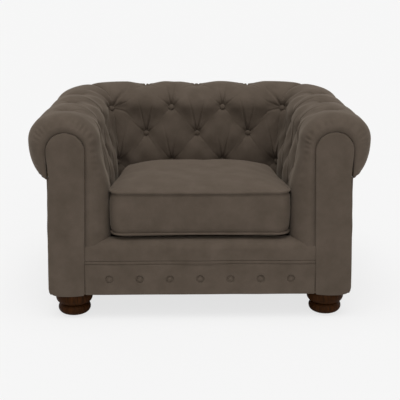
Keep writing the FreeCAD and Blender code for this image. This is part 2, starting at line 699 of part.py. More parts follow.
# Arm fronts
# A board stands between the base and the arch, and a padded panel faces it.
def front_outline(side, low, waist, radius, foot_round):
    """Outline of the arm front: straight inner edge, round top, waist under the roll."""
    level = size("arch_level")
    centre = half_seat + arch_reach
    wall = half_seat + wall_reach
    slant = radius * math.sqrt(0.5)
    inner = centre - radius

    def point(x, z):
        return FreeCAD.Vector(side * x, z, 0)

    inner_foot = inner + (level - low) * size("arch_taper")
    outer = wall - waist[0]
    turn = foot_round * (1 - math.sqrt(0.5))
    notch = number(NOTCH)
    return [Part.LineSegment(point(inner_foot, low), point(outer - foot_round, low)),
            Part.Arc(point(outer - foot_round, low), point(outer - turn, low + turn),
                     point(outer, low + foot_round)),
            Part.LineSegment(point(outer, low + foot_round), point(outer, notch - radius)),
            Part.Arc(point(outer, notch - radius), point(outer - waist[1] * 0.3, notch - radius / 2),
                     point(outer - waist[1], notch)),
            Part.Arc(point(outer - waist[1], notch),
                     point((outer - waist[1] + centre + radius) / 2 + waist[1] * 0.3,
                           (notch + level) / 2), point(centre + radius, level)),
            Part.Arc(point(centre + radius, level), point(centre + slant, level + slant),
                     point(centre, level + radius)),
            Part.Arc(point(centre, level + radius), point(centre - slant, level + slant),
                     point(inner, level)),
            Part.LineSegment(point(inner, level), point(inner_foot, low))]


def sketched_panel(label, outline, thickness, back_face):
    """A flat piece: its outline drawn across the chair and padded forwards from its back face."""
    body = doc.addObject("PartDesign::Body", label)
    sketch = body.newObject("Sketcher::SketchObject", label + "_outline")
    plane = [face for face in body.Origin.OriginFeatures if face.Role == "XZ_Plane"][0]
    sketch.AttachmentSupport = [(plane, "")]
    sketch.MapMode = "FlatFace"
    for edge in outline:
        sketch.addGeometry(edge, False)
    pad = body.newObject("PartDesign::Pad", label + "_pad")
    pad.Profile = sketch
    pad.setExpression("Length", thickness)
    body.setExpression("Placement.Base.y", back_face)
    return keep(body, label)


def between_fronts(height):
    """Half of the width between the arm fronts at a height."""
    return half_seat + arch_reach - size("arch_radius") + (size("arch_level") - height) * size("arch_taper")


for name, side in SIDES:
    board_outline = front_outline(side, base, (wall_reach - frame_reach, 0.6),
                                  size("arch_radius"), 4)
    sketched_panel(f"{name}_arm_front_board", board_outline, "sizes.front_board", BOARD_BACK)
    facing_outline = front_outline(side, size("leg_height"), (0, 7.5), size("arch_radius") - 0.5, 26)
    sketched_panel(f"{name}_facing", facing_outline, "sizes.facing_thickness", BOARD_FRONT)

def tapered_outline(low, high):
    """Four sides that fill the space between the arm fronts."""
    corners = [FreeCAD.Vector(side * between_fronts(height), height, 0)
               for side, height in ((-1, low), (1, low), (1, high), (-1, high))]
    return [Part.LineSegment(start, end) for start, end in zip(corners, corners[1:] + corners[:1])]


sketched_panel("front_rail", tapered_outline(base, rail_top), "sizes.front_rail_depth",
               f"{BOARD_FRONT} + sizes.front_rail_depth")

# Deck
# Zigzag springs run from the front rail to the rear inner rail in clips. Hessian and a padded deck
# lie on them, and a padded lip rounds over the front rail.
wire = size("spring_wire")
spring_level = rail_top + wire / 2 + clearance
lip_back = board_front + size("lip_depth")
spring_front = lip_back + 1.5 * wire
spring_back = back_foot + inner_rail_reach + wire
spring_room = corner_x - size("rib_thickness") - size("spring_width") / 2
springs_a_side = int(spring_room / size("spring_pitch") + 0.5)


def zigzag(x):
    """One spring: bends of a half turn to left and right in turn, joined by straight runs."""
    bend = size("spring_bend")
    half = size("spring_width") / 2 - bend / 2
    run = spring_back - spring_front
    turns = int(run / bend)
    bend = run / turns / 2
    edges = []
    y = spring_front
    for count in range(turns):
        near = x + half if count % 2 else x - half
        far = x - half if count % 2 else x + half
        edges.append(Part.makeLine(FreeCAD.Vector(near, y, spring_level),
                                   FreeCAD.Vector(far, y, spring_level)))
        outer = far + (bend if far > x else -bend)
        edges.append(Part.Arc(FreeCAD.Vector(far, y, spring_level),
                              FreeCAD.Vector(outer, y + bend, spring_level),
                              FreeCAD.Vector(far, y + 2 * bend, spring_level)).toShape())
        y += 2 * bend
    path = Part.Wire(edges)
    ring = Part.Wire(Part.makeCircle(wire / 2, FreeCAD.Vector(x - half, spring_front, spring_level),
                                     FreeCAD.Vector(1, 0, 0)))
    return path.makePipeShell([ring], True, True)


spring_places = [(count + 0.5) * size("spring_pitch")
                 for count in range(-springs_a_side, springs_a_side)]
springs = [zigzag(x) for x in spring_places]
feature("seat_springs", solids(springs))
deck_cloth_low = spring_level + wire / 2
clip_width = wire / 2
clips = []
for x in spring_places:
    for y in (spring_front - wire / 2 - clearance - clip_width, spring_back + wire / 2 + clearance):
        clips.append(Part.makeBox(size("clip_length"), clip_width, wire + clearance,
                                  FreeCAD.Vector(x - size("clip_length") / 2, y, rail_top)))
feature("spring_clips", solids(clips))
def deck_layer(reach, low, high):
    """A slab inside the padding's foot, its rear corners rounded as the padding's are."""
    half = half_seat + reach
    slab = Part.makeBox(2 * half, back_foot + reach - lip_back, high - low,
                        FreeCAD.Vector(-half, lip_back, low))
    radius = size("corner_radius") + reach
    for name, side in SIDES:
        centre = FreeCAD.Vector(side * corner_x, corner_y, low)
        square = Part.makeBox(radius, radius, high - low,
                              FreeCAD.Vector(min(side * corner_x, side * half), corner_y, low))
        slab = slab.cut(square.cut(Part.makeCylinder(radius, high - low, centre, UP)))
    return slab


deck_reach = inner_edge(size("pad_base")) - clearance
feature("deck_cloth", deck_layer(deck_reach, deck_cloth_low, deck_cloth_low + size("deck_cloth")))
deck_low = deck_cloth_low + size("deck_cloth")
deck_step = size("pad_base") - clearance
deck = deck_layer(deck_reach, deck_low, deck_step)
deck_top_half = half_seat - clearance
deck_upper = deck_layer(-clearance, deck_step, size("deck_top"))
feature("deck_pad", deck.fuse(deck_upper).removeSplitter())
lip_half = between_fronts(deck_step)
swell = front + size("band_thickness") - size("lip_swell") + 2


def lip_part(half, outline):
    """A stretch of the lip: lines and arcs in a plane across it, drawn out over its length."""
    points = [FreeCAD.Vector(-half, y, z) for y, z in outline]
    edges = [Part.makeLine(points[0], points[1]), Part.makeLine(points[1], points[2]),
             Part.Arc(points[2], points[3], points[4]).toShape()]
    loop = points[4:] + points[:1]
    edges += [Part.makeLine(start, end) for start, end in zip(loop, loop[1:]) if start != end]
    return Part.Face(Part.Wire(edges)).extrude(FreeCAD.Vector(2 * half, 0, 0))


seam = size("seam_level")
lower_lip = lip_part(lip_half, [(lip_back, rail_top), (board_front, rail_top), (board_front, seam),
                                (swell, (seam + deck_step) / 2), (board_front - 3, deck_step),
                                (lip_back, deck_step)])
upper_lip = lip_part(deck_top_half, [(lip_back, size("deck_top")), (lip_back, deck_step),
                                     (board_front - 3, deck_step),
                                     (board_front + 5, blend(deck_step, size("deck_top"), 0.7)),
                                     (lip_back, size("deck_top"))])
feature("front_lip", lower_lip.fuse(upper_lip).removeSplitter())

# Front band
# Cloth on thin padding between the arm fronts, with a row of flat covered buttons.
sketched_panel("front_band", tapered_outline(size("leg_height"), size("seam_level")),
               "sizes.band_thickness", BOARD_FRONT)
band_face = board_front - size("band_thickness")
band_buttons = []
for count in range(-3, 4):
    place = FreeCAD.Vector(count * size("band_button_pitch"), band_face, size("band_button_level"))
    disc = Part.makeCylinder(size("band_button_diameter") / 2, size("band_button_height"), place,
                             FreeCAD.Vector(0, -1, 0))
    rim = [edge for edge in disc.Edges if len(edge.Vertexes) == 1 and edge.CenterOfMass.y < band_face - 1]
    band_buttons.append(disc.makeFillet(size("band_button_height") * 0.6, rim))
feature("band_buttons", solids(band_buttons))


# Dust cover
# Thin black cloth stapled to the underside of the base, pierced by the feet's bolts.
def base_outline(inset):
    reach = half_seat + wall_reach - inset
    radius = size("corner_radius") + wall_reach - inset
    low = size("leg_height")
    rear = corner_y + radius
    front_edge = board_front + inset / 2
    slant = radius * math.sqrt(0.5)
    corner = [FreeCAD.Vector(-reach, front_edge, low), FreeCAD.Vector(reach, front_edge, low),
              FreeCAD.Vector(reach, corner_y, low), FreeCAD.Vector(corner_x, rear, low),
              FreeCAD.Vector(-corner_x, rear, low), FreeCAD.Vector(-reach, corner_y, low)]
    return Part.Wire([Part.makeLine(corner[0], corner[1]), Part.makeLine(corner[1], corner[2]),
                      Part.Arc(corner[2], FreeCAD.Vector(corner_x + slant, corner_y + slant, low),
                               corner[3]).toShape(),
                      Part.makeLine(corner[3], corner[4]),
                      Part.Arc(corner[4], FreeCAD.Vector(-corner_x - slant, corner_y + slant, low),
                               corner[5]).toShape(),
                      Part.makeLine(corner[5], corner[0])])


dust = Part.Face(base_outline(wall_reach - frame_reach)).extrude(
    FreeCAD.Vector(0, 0, size("dust_cloth")))
feature("dust_cover", dust.cut(bolt_holes))


# Seat cushion
# A loose boxed cushion, crowned above and below, its sides drawn in, with piping let into a groove
# round each edge.
cushion_front = front + size("cushion_setback")
cushion_back = back_foot - size("cushion_back_gap")
cushion_half = half_seat - size("cushion_clearance")
cushion_mid = (cushion_front + cushion_back) / 2
cushion_long = (cushion_back - cushion_front) / 2


def cushion_outline(level, inset, draw):
    """Rounded rectangle with sides drawn in: eight arcs, each tangent to the next."""
    half = cushion_half - inset
    long = cushion_long - inset
    radius = max(size("cushion_corner") - inset, size("cushion_corner") / 3)
    pull = 2 * math.atan(draw / (half - radius))
    corner_turn = math.pi / 4 + pull
    bulge = radius * math.sqrt(0.5) / math.sin(corner_turn) * (1 - math.cos(corner_turn))
    slant = radius / 2 - bulge * math.sqrt(0.5)
    edges = []
    for turn in range(4):
        across, along = (half, long) if turn % 2 == 0 else (long, half)
        spin = FreeCAD.Rotation(UP, 90 * turn)
        sag = (along - radius) * math.tan(pull / 2)
        local = [(across, -along + radius), (across - sag, 0), (across, along - radius),
                 (across - slant, along - slant), (across - radius, along)]
        places = [spin.multVec(FreeCAD.Vector(x, y, 0)) + FreeCAD.Vector(0, cushion_mid, level)
                  for x, y in local]
        edges.append(Part.Arc(places[0], places[1], places[2]).toShape())
        edges.append(Part.Arc(places[2], places[3], places[4]).toShape())
    return Part.Wire(edges)


piping = size("piping_diameter") / 2
groove = 2 * piping + clearance
seams = (size("cushion_seam_low"), size("cushion_seam_high"))
crown_low = seams[0] - size("deck_top") - clearance
crown_high = size("cushion_crown")
draw = size("cushion_draw")
cushion_levels = []
for share in (1.0, 0.75, 0.4):
    inset = groove + (cushion_half * 0.5) * share ** 1.5
    cushion_levels.append((seams[0] - piping - (crown_low - piping) * share, inset, draw * (1 - share)))
for seam_level, lower, upper in ((seams[0], groove * 0.5, 0), (seams[1], 0, groove * 0.5)):
    cushion_levels += [(seam_level - piping - clearance - 0.5, lower, draw),
                       (seam_level - piping - clearance, groove, draw),
                       (seam_level + piping + clearance, groove, draw),
                       (seam_level + piping + clearance + 0.5, upper, draw)]
    if seam_level == seams[0]:
        cushion_levels.append(((seams[0] + seams[1]) / 2, -1.5, draw * 0.7))
for share in (0.4, 0.72, 1.0):
    inset = groove + (cushion_half * 0.55) * share ** 1.7
    cushion_levels.append((seams[1] + piping + (crown_high - piping) * share, inset, draw * (1 - share)))
cushion_sections = [cushion_outline(level, inset, max(pull, 0.6)) for level, inset, pull in cushion_levels]
feature("seat_cushion", Part.makeLoft(cushion_sections, True, True))


def piping_ring(level):
    path = cushion_outline(level, piping, draw)
    first = path.Edges[0]
    section = Part.Wire(Part.makeCircle(piping, first.valueAt(first.FirstParameter),
                                        first.tangentAt(first.FirstParameter)))
    return path.makePipeShell([section], True, False)


feature("cushion_top_piping", piping_ring(seams[1]))
feature("cushion_bottom_piping", piping_ring(seams[0]))

# Check every object, then write one file for each piece.
doc.recompute()
for item in doc.Objects:
    if "Invalid" in item.State or "Error" in item.State:
        raise RuntimeError(f"{item.Label} did not build: {item.State}")
labels = [piece.Label for piece in nodes]
if len(set(labels)) != len(labels):
    raise RuntimeError("two pieces share a name")
for piece in nodes:
    if piece.Shape.isNull() or not piece.Shape.isValid() or not piece.Shape.Solids:
        raise RuntimeError(f"{piece.Label} has no sound shape")
os.makedirs("parts", exist_ok=True)
for piece in nodes:
    piece.Shape.exportStep(f"parts/{piece.Label}.step")
    box_of = piece.Shape.BoundBox
    print(f"{piece.Label}: {len(piece.Shape.Solids)} solids, {piece.Shape.Volume / 1000:.1f} cm3, "
          f"z {box_of.ZMin:.1f} to {box_of.ZMax:.1f}")
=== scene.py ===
import math
import bmesh
import bpy
import numpy as np
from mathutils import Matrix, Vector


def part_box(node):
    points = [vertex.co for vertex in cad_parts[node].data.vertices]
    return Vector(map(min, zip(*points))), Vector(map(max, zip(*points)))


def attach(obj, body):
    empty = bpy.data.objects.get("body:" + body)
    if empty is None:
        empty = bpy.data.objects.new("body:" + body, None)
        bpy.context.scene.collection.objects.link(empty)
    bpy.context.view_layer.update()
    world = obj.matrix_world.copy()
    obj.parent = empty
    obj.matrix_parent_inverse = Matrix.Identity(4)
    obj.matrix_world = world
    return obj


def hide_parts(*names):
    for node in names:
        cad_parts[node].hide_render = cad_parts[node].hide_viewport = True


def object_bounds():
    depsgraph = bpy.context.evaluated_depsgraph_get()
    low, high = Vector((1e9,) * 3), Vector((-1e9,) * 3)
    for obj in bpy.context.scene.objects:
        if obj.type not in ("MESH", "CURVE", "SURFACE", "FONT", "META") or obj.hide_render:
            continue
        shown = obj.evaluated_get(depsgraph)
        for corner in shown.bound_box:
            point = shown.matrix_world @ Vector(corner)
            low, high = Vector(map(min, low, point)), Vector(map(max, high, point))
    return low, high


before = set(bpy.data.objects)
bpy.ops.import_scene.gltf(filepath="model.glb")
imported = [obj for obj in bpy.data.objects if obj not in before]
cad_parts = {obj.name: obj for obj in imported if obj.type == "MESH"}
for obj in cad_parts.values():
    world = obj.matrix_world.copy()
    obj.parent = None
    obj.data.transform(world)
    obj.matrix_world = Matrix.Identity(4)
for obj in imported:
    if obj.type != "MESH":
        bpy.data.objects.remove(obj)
cad_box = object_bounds()

# Base and inner frame
# Beech rails, ribs and blocks, glued and screwed; bent board liners carry the padding. The solids
# of the frame already have their shapes, so here they only get their finishes.
BOARD_FLECK = 0.006
PLATE_PATCH = 0.012
LINING_WEB = 0.002
FELT_FIBRE = 0.0015


def srgb(code):
    """A colour written as six hex digits, turned to the linear values that shaders take."""
    parts = np.array([int(code[place:place + 2], 16) for place in (0, 2, 4)]) / 255
    linear = np.where(parts <= 0.04045, parts / 12.92, ((parts + 0.055) / 1.055) ** 2.4)
    return (*linear.tolist(), 1.0)


def add_node(tree, kind, inputs=(), **settings):
    """Adds a shader node, sets its properties, and sets or links its inputs."""
    node = tree.nodes.new(kind)
    for name, value in settings.items():
        setattr(node, name, value)
    for name, value in dict(inputs).items():
        if isinstance(value, bpy.types.NodeSocket):
            tree.links.new(value, node.inputs[name])
        else:
            node.inputs[name].default_value = value
    return node


def new_finish(name, roughness, specular=0.5):
    """A material with its shader, its tree, and the place on the object that patterns read."""
    material = bpy.data.materials.new(name)
    material.use_nodes = True
    tree = material.node_tree
    shader = tree.nodes["Principled BSDF"]
    shader.inputs["Roughness"].default_value = roughness
    shader.inputs["Specular IOR Level"].default_value = specular
    place = add_node(tree, "ShaderNodeTexCoord").outputs["Object"]
    return material, tree, shader, place


def shade_between(tree, shader, pattern, dark, light, low=0.35, high=0.65):
    """Colours a pattern from a dark to a light shade of the same material."""
    ramp = add_node(tree, "ShaderNodeValToRGB", {"Fac": pattern})
    ramp.color_ramp.elements[0].position = low
    ramp.color_ramp.elements[0].color = srgb(dark)
    ramp.color_ramp.elements[1].position = high
    ramp.color_ramp.elements[1].color = srgb(light)
    tree.links.new(ramp.outputs["Color"], shader.inputs["Base Color"])


def raise_pattern(tree, shader, pattern, strength, height):
    """Bumps the surface by a pattern, to a height in metres."""
    bump = add_node(tree, "ShaderNodeBump", {"Height": pattern, "Strength": strength, "Distance": height})
    tree.links.new(bump.outputs["Normal"], shader.inputs["Normal"])


def wood_finish(name, dark, light, roughness, grain, stretch, specular=0.5):
    """Grain: noise drawn out along the wood, so that one grain line is `grain` metres wide."""
    material, tree, shader, place = new_finish(name, roughness, specular)
    long_grain = add_node(tree, "ShaderNodeMapping", {"Vector": place, "Scale": stretch})
    lines = add_node(tree, "ShaderNodeTexNoise", {"Vector": long_grain.outputs["Vector"],
                                                  "Scale": 1 / grain, "Detail": 5.0, "Roughness": 0.6})
    shade_between(tree, shader, lines.outputs["Fac"], dark, light)
    raise_pattern(tree, shader, lines.outputs["Fac"], strength=0.15, height=0.0004)
    return material


def finish_nodes(material, *nodes):
    """Gives frame nodes a finish."""
    for node in nodes:
        mesh = bpy.data.objects[node].data
        mesh.materials.clear()
        mesh.materials.append(material)


# Planed beech: pale, matt, with short fine grain that runs along the rails.
planed_beech = wood_finish("planed_beech", "A07C50", "BC9668", roughness=0.6, grain=0.008,
                           stretch=(0.15, 1, 1))
finish_nodes(planed_beech, "back_batten", "back_rail", "back_ribs", "back_tack_rail", "corner_blocks",
             "corner_ribs", "corner_top_rails", "front_rail", "rear_inner_rail")
for part in ("arm_batten", "arm_front_board", "arm_ribs", "arm_tack_rail", "corner_rail", "inner_rail",
             "side_rail"):
    finish_nodes(planed_beech, "left_" + part, "right_" + part)

# Bending board: brown pressed fibre, flecked, with a slight tooth.
bending_board, tree, shader, place = new_finish("bending_board", roughness=0.8, specular=0.3)
fibres = add_node(tree, "ShaderNodeTexNoise", {"Vector": place, "Scale": 1 / BOARD_FLECK, "Detail": 6.0})
shade_between(tree, shader, fibres.outputs["Fac"], "94794F", "B39870")
raise_pattern(tree, shader, fibres.outputs["Fac"], strength=0.3, height=0.0004)
finish_nodes(bending_board, "back_liner", "left_arm_liner", "right_arm_liner")

# Zinc plated steel: springs, clips, screws, bolts and plates, dulled in fine patches.
plated_steel, tree, shader, place = new_finish("plated_steel", roughness=0.38)
patches = add_node(tree, "ShaderNodeTexNoise", {"Vector": place, "Scale": 1 / PLATE_PATCH, "Detail": 3.0})
shade_between(tree, shader, patches.outputs["Fac"], "8D8E8C", "ACACA8")
shader.inputs["Metallic"].default_value = 1.0
finish_nodes(plated_steel, "seat_springs", "spring_clips", "block_screws", "foot_bolts",
             "foot_nut_plates")

# Black lining cloth under the seat and the base: thin spun fibre, its web drawn 2 mm coarse to show.
lining_cloth, tree, shader, place = new_finish("lining_cloth", roughness=0.95, specular=0.15)
web = add_node(tree, "ShaderNodeTexVoronoi", {"Vector": place, "Scale": 1 / LINING_WEB})
shade_between(tree, shader, web.outputs["Distance"], "161412", "2B2825", low=0.0, high=0.7)
raise_pattern(tree, shader, web.outputs["Distance"], strength=0.3, height=0.0004)
finish_nodes(lining_cloth, "deck_cloth", "dust_cover")

# Pressed wool felt: brown, matt, with a blurred fibre grain.
wool_felt, tree, shader, place = new_finish("wool_felt", roughness=0.98, specular=0.1)
wool = add_node(tree, "ShaderNodeTexNoise", {"Vector": place, "Scale": 1 / FELT_FIBRE, "Detail": 4.0})
shade_between(tree, shader, wool.outputs["Fac"], "2E2822", "48403A")
raise_pattern(tree, shader, wool.outputs["Fac"], strength=0.4, height=0.0005)
finish_nodes(wool_felt, "foot_glides")

# Feet
# Four solid walnut feet, turned on a lathe: a thumb moulding above, a cove, and a flattened ball.
# They are stained dark, polished, and bolted up into the corner blocks.
FOOT_BASE = 0.004
FOOT_TOP = 0.088
BALL_LEVEL = 0.026
BALL_RISE = 0.0215
BALL_RADIUS = 0.0575
BALL_END = np.pi / 2.35
FLAT_RADIUS = 0.034
NECK_LEVEL = 0.0455
NECK_RADIUS = 0.0487
MOULD_RADIUS = 0.0655
MOULD_LEVEL = 0.068
MOULD_FULLNESS = 0.9
TOP_EDGE_DROP = 0.006
TOP_EDGE_INSET = 0.004
FOOT_STEPS = 34
FOOT_SIDES = 72


def new_piece(name, points, faces, slot, material, *nodes, body="chair"):
    """A smooth welded mesh at the origin, which rides on a body and stands for its frame nodes."""
    mesh = bpy.data.meshes.new(name)
    mesh.from_pydata(np.asarray(points, float).reshape(-1, 3), [], [list(face) for face in faces])
    piece = bpy.data.objects.new(name, mesh)
    bpy.context.scene.collection.objects.link(piece)
    shell = bmesh.new()
    shell.from_mesh(mesh)
    bmesh.ops.remove_doubles(shell, verts=shell.verts, dist=0.00002)
    bmesh.ops.recalc_face_normals(shell, faces=shell.faces)
    shell.to_mesh(mesh)
    shell.free()
    mesh.shade_smooth()
    mesh.materials.append(material)
    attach(piece, body)
    if nodes:
        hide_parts(*nodes)
    return piece


def grid_faces(rows, columns, start=0, wrap=False):
    """Corner numbers of a grid's faces; with wrap, the last column joins the first."""
    across = np.arange(columns if wrap else columns - 1)
    corner = start + np.arange(rows - 1)[:, None] * columns + across[None, :]
    after = start + np.arange(rows - 1)[:, None] * columns + ((across + 1) % columns)[None, :]
    return np.stack([corner, after, after + columns, corner + columns], -1).reshape(-1, 4)


def foot_profile():
    """Radius and height up the foot: part of an ellipse for the ball, a quarter for the moulding."""
    around = np.linspace(-np.pi / 2, BALL_END, FOOT_STEPS)
    ball = np.stack([FLAT_RADIUS + (BALL_RADIUS - FLAT_RADIUS) * np.cos(around),
                     BALL_LEVEL + BALL_RISE * np.sin(around)], -1)
    quarter = np.linspace(0, np.pi / 2, FOOT_STEPS)
    mould = np.stack([NECK_RADIUS + (MOULD_RADIUS - NECK_RADIUS) * np.sin(quarter) ** MOULD_FULLNESS,
                      MOULD_LEVEL - (MOULD_LEVEL - NECK_LEVEL) * np.cos(quarter)], -1)
    top = [[MOULD_RADIUS, FOOT_TOP - TOP_EDGE_DROP], [MOULD_RADIUS - TOP_EDGE_INSET, FOOT_TOP],
           [0.0, FOOT_TOP]]
    return np.concatenate([[[0.0, FOOT_BASE]], ball, mould, top])


def turned_foot(name, node):
    """The profile carried round the foot's own middle."""
    low, high = np.array(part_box(node))
    centre = (low + high) / 2
    turn = np.linspace(0, 2 * np.pi, FOOT_SIDES, endpoint=False)
    profile = foot_profile()
    x = centre[0] + profile[:, :1] * np.cos(turn)
    y = centre[1] + profile[:, :1] * np.sin(turn)
    z = np.broadcast_to(profile[:, 1:], x.shape)
    return new_piece(name, np.stack([x, y, z], -1), grid_faces(len(profile), len(turn), wrap=True),
                     "walnut", stained_walnut, node)


# Stained walnut: dark red-brown, long grain up the foot, under a satin wax polish.
stained_walnut = wood_finish("stained_walnut", "231102", "3A1F08", roughness=0.55, grain=0.006,
                             stretch=(1, 1, 0.12), specular=0.06)
for corner in ("left_front", "right_front", "left_rear", "right_rear"):
    turned_foot(corner + "_turned_foot", corner + "_foot")

# Arm and back padding
# Foam and wadding over the arch of the frame, under taupe microfibre suede. Buttons on cords draw it
# in at the points of diamonds, and the cover is folded from button to button and over the roll.
# Reach counts outward from the seat's edge; travel counts up the padding's outline from the deck's
# foot, over the roll and under its curl, and along an arm or the back.
SEAT_HALF = 0.316
CORNER = 0.030
FRONT = cad_box[0][1]
CORNER_X = SEAT_HALF - CORNER
CORNER_Y = 0.151
WALL = 0.207
LEAN = 0.030
LEAN_START = 0.440
ROLL_HALF = 0.1213
ROLL_RISE = 0.0938
ROLL_LEVEL = 0.632
ROLL_MEAN = (ROLL_HALF + ROLL_RISE) / 2
ROLL_END = ROLL_LEVEL + math.pi * ROLL_MEAN
CURL = LEAN + 2 * ROLL_HALF - WALL
CURL_DROP = 0.124
CURL_MEAN = (CURL + CURL_DROP) / 2
CURL_POWER = 2.1
ARCH = 0.0668
ARCH_LEVEL = 0.602
ARCH_REACH = 0.1405
ARCH_SLOPE = 0.03
PAD_FOOT = 0.247
THINNEST = 0.02
LEAST_SHARE = 0.02
REAR_SLIM = 0.021
REAR_DROP = 0.007
REAR_RUN = 0.45
BACK_EVEN = 0.04
ROW_LEVELS = np.array([0.420, 0.533, 0.647, 0.801])
ARM_COLUMNS = 5
BACK_COLUMNS = 3
BAND_DEPTH = 0.150
BAND_FADE = 0.020
BAND_CREASE = 0.0065
BAND_CREASE_WIDTH = 0.009
FRONT_ROUND = 0.078
FRONT_GAP = 0.0045
FRONT_EDGE = 0.004
FRONT_POWER = 2.1
ARM_STRAIGHT = CORNER_Y - FRONT
EIGHTH = CORNER * math.pi / 4
ARM_MITRE = ARM_STRAIGHT + EIGHTH
BACK_MITRE = CORNER_X + EIGHTH
ARM_PITCH = (ARM_MITRE - BAND_DEPTH) / ARM_COLUMNS
BACK_PITCH = BACK_MITRE / BACK_COLUMNS
MITRE_SINK = 0.009
MITRE_WIDTH = 0.012
BUTTON_SINK = 0.022
DENT_RADIUS = 0.0225
FOLD_SINK = 0.0080
ARM_FOLD_EASE = 0.8
BACK_FOLD_EASE = 0.45
STEEP_FOLDS = (11, 0.082, 0.0095), (-12, 0.084, 0.0095)
SIDE_FOLDS = (44, 0.048, 0.0042), (-42, 0.050, 0.0042)
LOW_FOLDS = (138, 0.050, 0.0044), (-140, 0.052, 0.0044)
MIDDLE_FOLD = 180, 0.026, 0.0012
FOLD_STRAY = 5
FOLD_LENGTHS = 0.8, 1.2
FOLD_DEPTHS = 0.6, 1.1
FOLD_START = 0.014
FOLD_WIDTH = 0.0023
FOLD_SPREAD = 0.012
FOLD_SPREAD_END = 0.1
FOLD_WANDER = 0.06
GATHER_SINK = 0.0020
GATHER_PLACE = 0.017
GATHER_WIDTH = 0.011
GATHER_FADE = 0.25
GATHER_RATE = 240
GATHER_DRIFT = 2.2
GATHER_DRIFT_RATE = 37
ACROSS_STEPS = 241
INNER_SKIP = 4
FRONT_STEPS = 28
ARM_STEPS = 260
BACK_STEPS = 300
BEND_STEPS = 30
OUTLINE_END = ROLL_END + math.pi / 2 * CURL_MEAN
TRAVEL = np.linspace(PAD_FOOT, OUTLINE_END, ACROSS_STEPS)
WAVE_COUNT = 14
WAVE_HEIGHT = 0.0004
BACK_WAVES = 3
WAVES = np.random.default_rng(8).uniform([8, 8, 0, 0.5], [40, 40, 6.28, 1.0], (WAVE_COUNT, 4))


def eased(share):
    """A smooth step from nought to one: three of its squares less two of its cubes."""
    return share * share * (3 - 2 * share)


def arm_track(side, travel):
    """The arm's base line from its front, straight and then round the corner, and the way outward."""
    angle = np.maximum(travel - ARM_STRAIGHT, 0) / CORNER
    base = (side * (CORNER_X + CORNER * np.cos(angle)),
            FRONT + np.minimum(travel, ARM_STRAIGHT) + CORNER * np.sin(angle))
    return base, (side * np.cos(angle), np.sin(angle))


def back_track(travel):
    """The back's base line, counted from its middle, and the way outward."""
    side = np.sign(travel)
    angle = np.maximum(np.abs(travel) - CORNER_X, 0) / CORNER
    base = (side * (np.minimum(np.abs(travel), CORNER_X) + CORNER * np.sin(angle)),
            CORNER_Y + CORNER * np.cos(angle))
    return base, (side * np.sin(angle), np.cos(angle))


def set_out(track, reach, height):
    """Points that stand out from a base line by their reach, at their height."""
    base, outward = track
    return np.stack([base[0][:, None] + reach * outward[0][:, None],
                     base[1][:, None] + reach * outward[1][:, None],
                     np.broadcast_to(height, reach.shape)], -1)


def padding_line(travel):
    """Reach and height on the padding's outline: a leaning face, half an ellipse, a curl under."""
    turn = np.clip((travel - ROLL_LEVEL) / ROLL_MEAN, 0, np.pi)
    drop = np.clip((travel - ROLL_END) / CURL_MEAN, 0, np.pi / 2)
    lean = LEAN * eased(np.clip((travel - LEAN_START) / (ROLL_LEVEL - LEAN_START), 0, 1))
    reach = np.where(travel < ROLL_LEVEL, lean, LEAN + ROLL_HALF * (1 - np.cos(turn)))
    height = np.where(travel < ROLL_LEVEL, travel, ROLL_LEVEL + ROLL_RISE * np.sin(turn))
    curled = travel > ROLL_END
    reach = np.where(curled, WALL + CURL * np.cos(drop) ** (2 / CURL_POWER), reach)
    height = np.where(curled, ROLL_LEVEL - CURL_DROP * np.sin(drop) ** (2 / CURL_POWER), height)
    return reach, height


def hollow_line(reach, height):
    """The nearest point of the frame's arch: its straight inner and outer edges, or its round top."""
    across = reach - ARCH_REACH
    up = np.maximum(height - ARCH_LEVEL, 0)
    far = np.maximum(np.hypot(across, up), 1e-6)
    straight = height < ARCH_LEVEL
    inner = ARCH_REACH - ARCH + (ARCH_LEVEL - height) * ARCH_SLOPE
    edge = np.where(across < 0, inner, ARCH_REACH + ARCH)
    return (np.where(straight, edge, ARCH_REACH + across / far * ARCH),
            np.where(straight, height, ARCH_LEVEL + up / far * ARCH))


def waves(along, travel):
    """Uneven filling: long waves that cross at odd angles, a few millimetres high where they meet."""
    height = np.zeros(np.broadcast(along, travel).shape)
    for first, second, phase, share in WAVES:
        height = height + share * np.sin(2 * first * travel + 2 * second * along + phase)
    return height * WAVE_HEIGHT


def flute(share):
    """Height across one flute: a flat crown, and rounded valleys where the cosine nears one."""
    return 1 - np.cos(np.pi * share) ** 4


def drawn_folds(side, up, draw):
    """Folds that run from a button: two steep ones above it, and short ones to the sides and below.

    Each has an angle from straight up, a length and a depth. It is a narrow groove along a ray,
    deepest near the button, that fades as a bell curve along the ray and across it.
    """
    sink = np.zeros(np.broadcast(side, up).shape)
    for degrees, length, depth in (*STEEP_FOLDS, *SIDE_FOLDS, *LOW_FOLDS, MIDDLE_FOLD):
        angle = math.radians(degrees + draw.uniform(-FOLD_STRAY, FOLD_STRAY))
        length = length * draw.uniform(*FOLD_LENGTHS)
        along = side * math.sin(angle) + up * math.cos(angle)
        wander = FOLD_WANDER * along * draw.uniform(-1, 1)
        across = side * math.cos(angle) - up * math.sin(angle) + wander
        window = np.clip(along / FOLD_START, 0, 1) * np.exp(-(np.maximum(along, 0) / length) ** 2)
        width = FOLD_WIDTH + FOLD_SPREAD * np.clip(along, 0, FOLD_SPREAD_END)
        sink += depth * draw.uniform(*FOLD_DEPTHS) * window * np.exp(-(across / width) ** 2)
    return sink


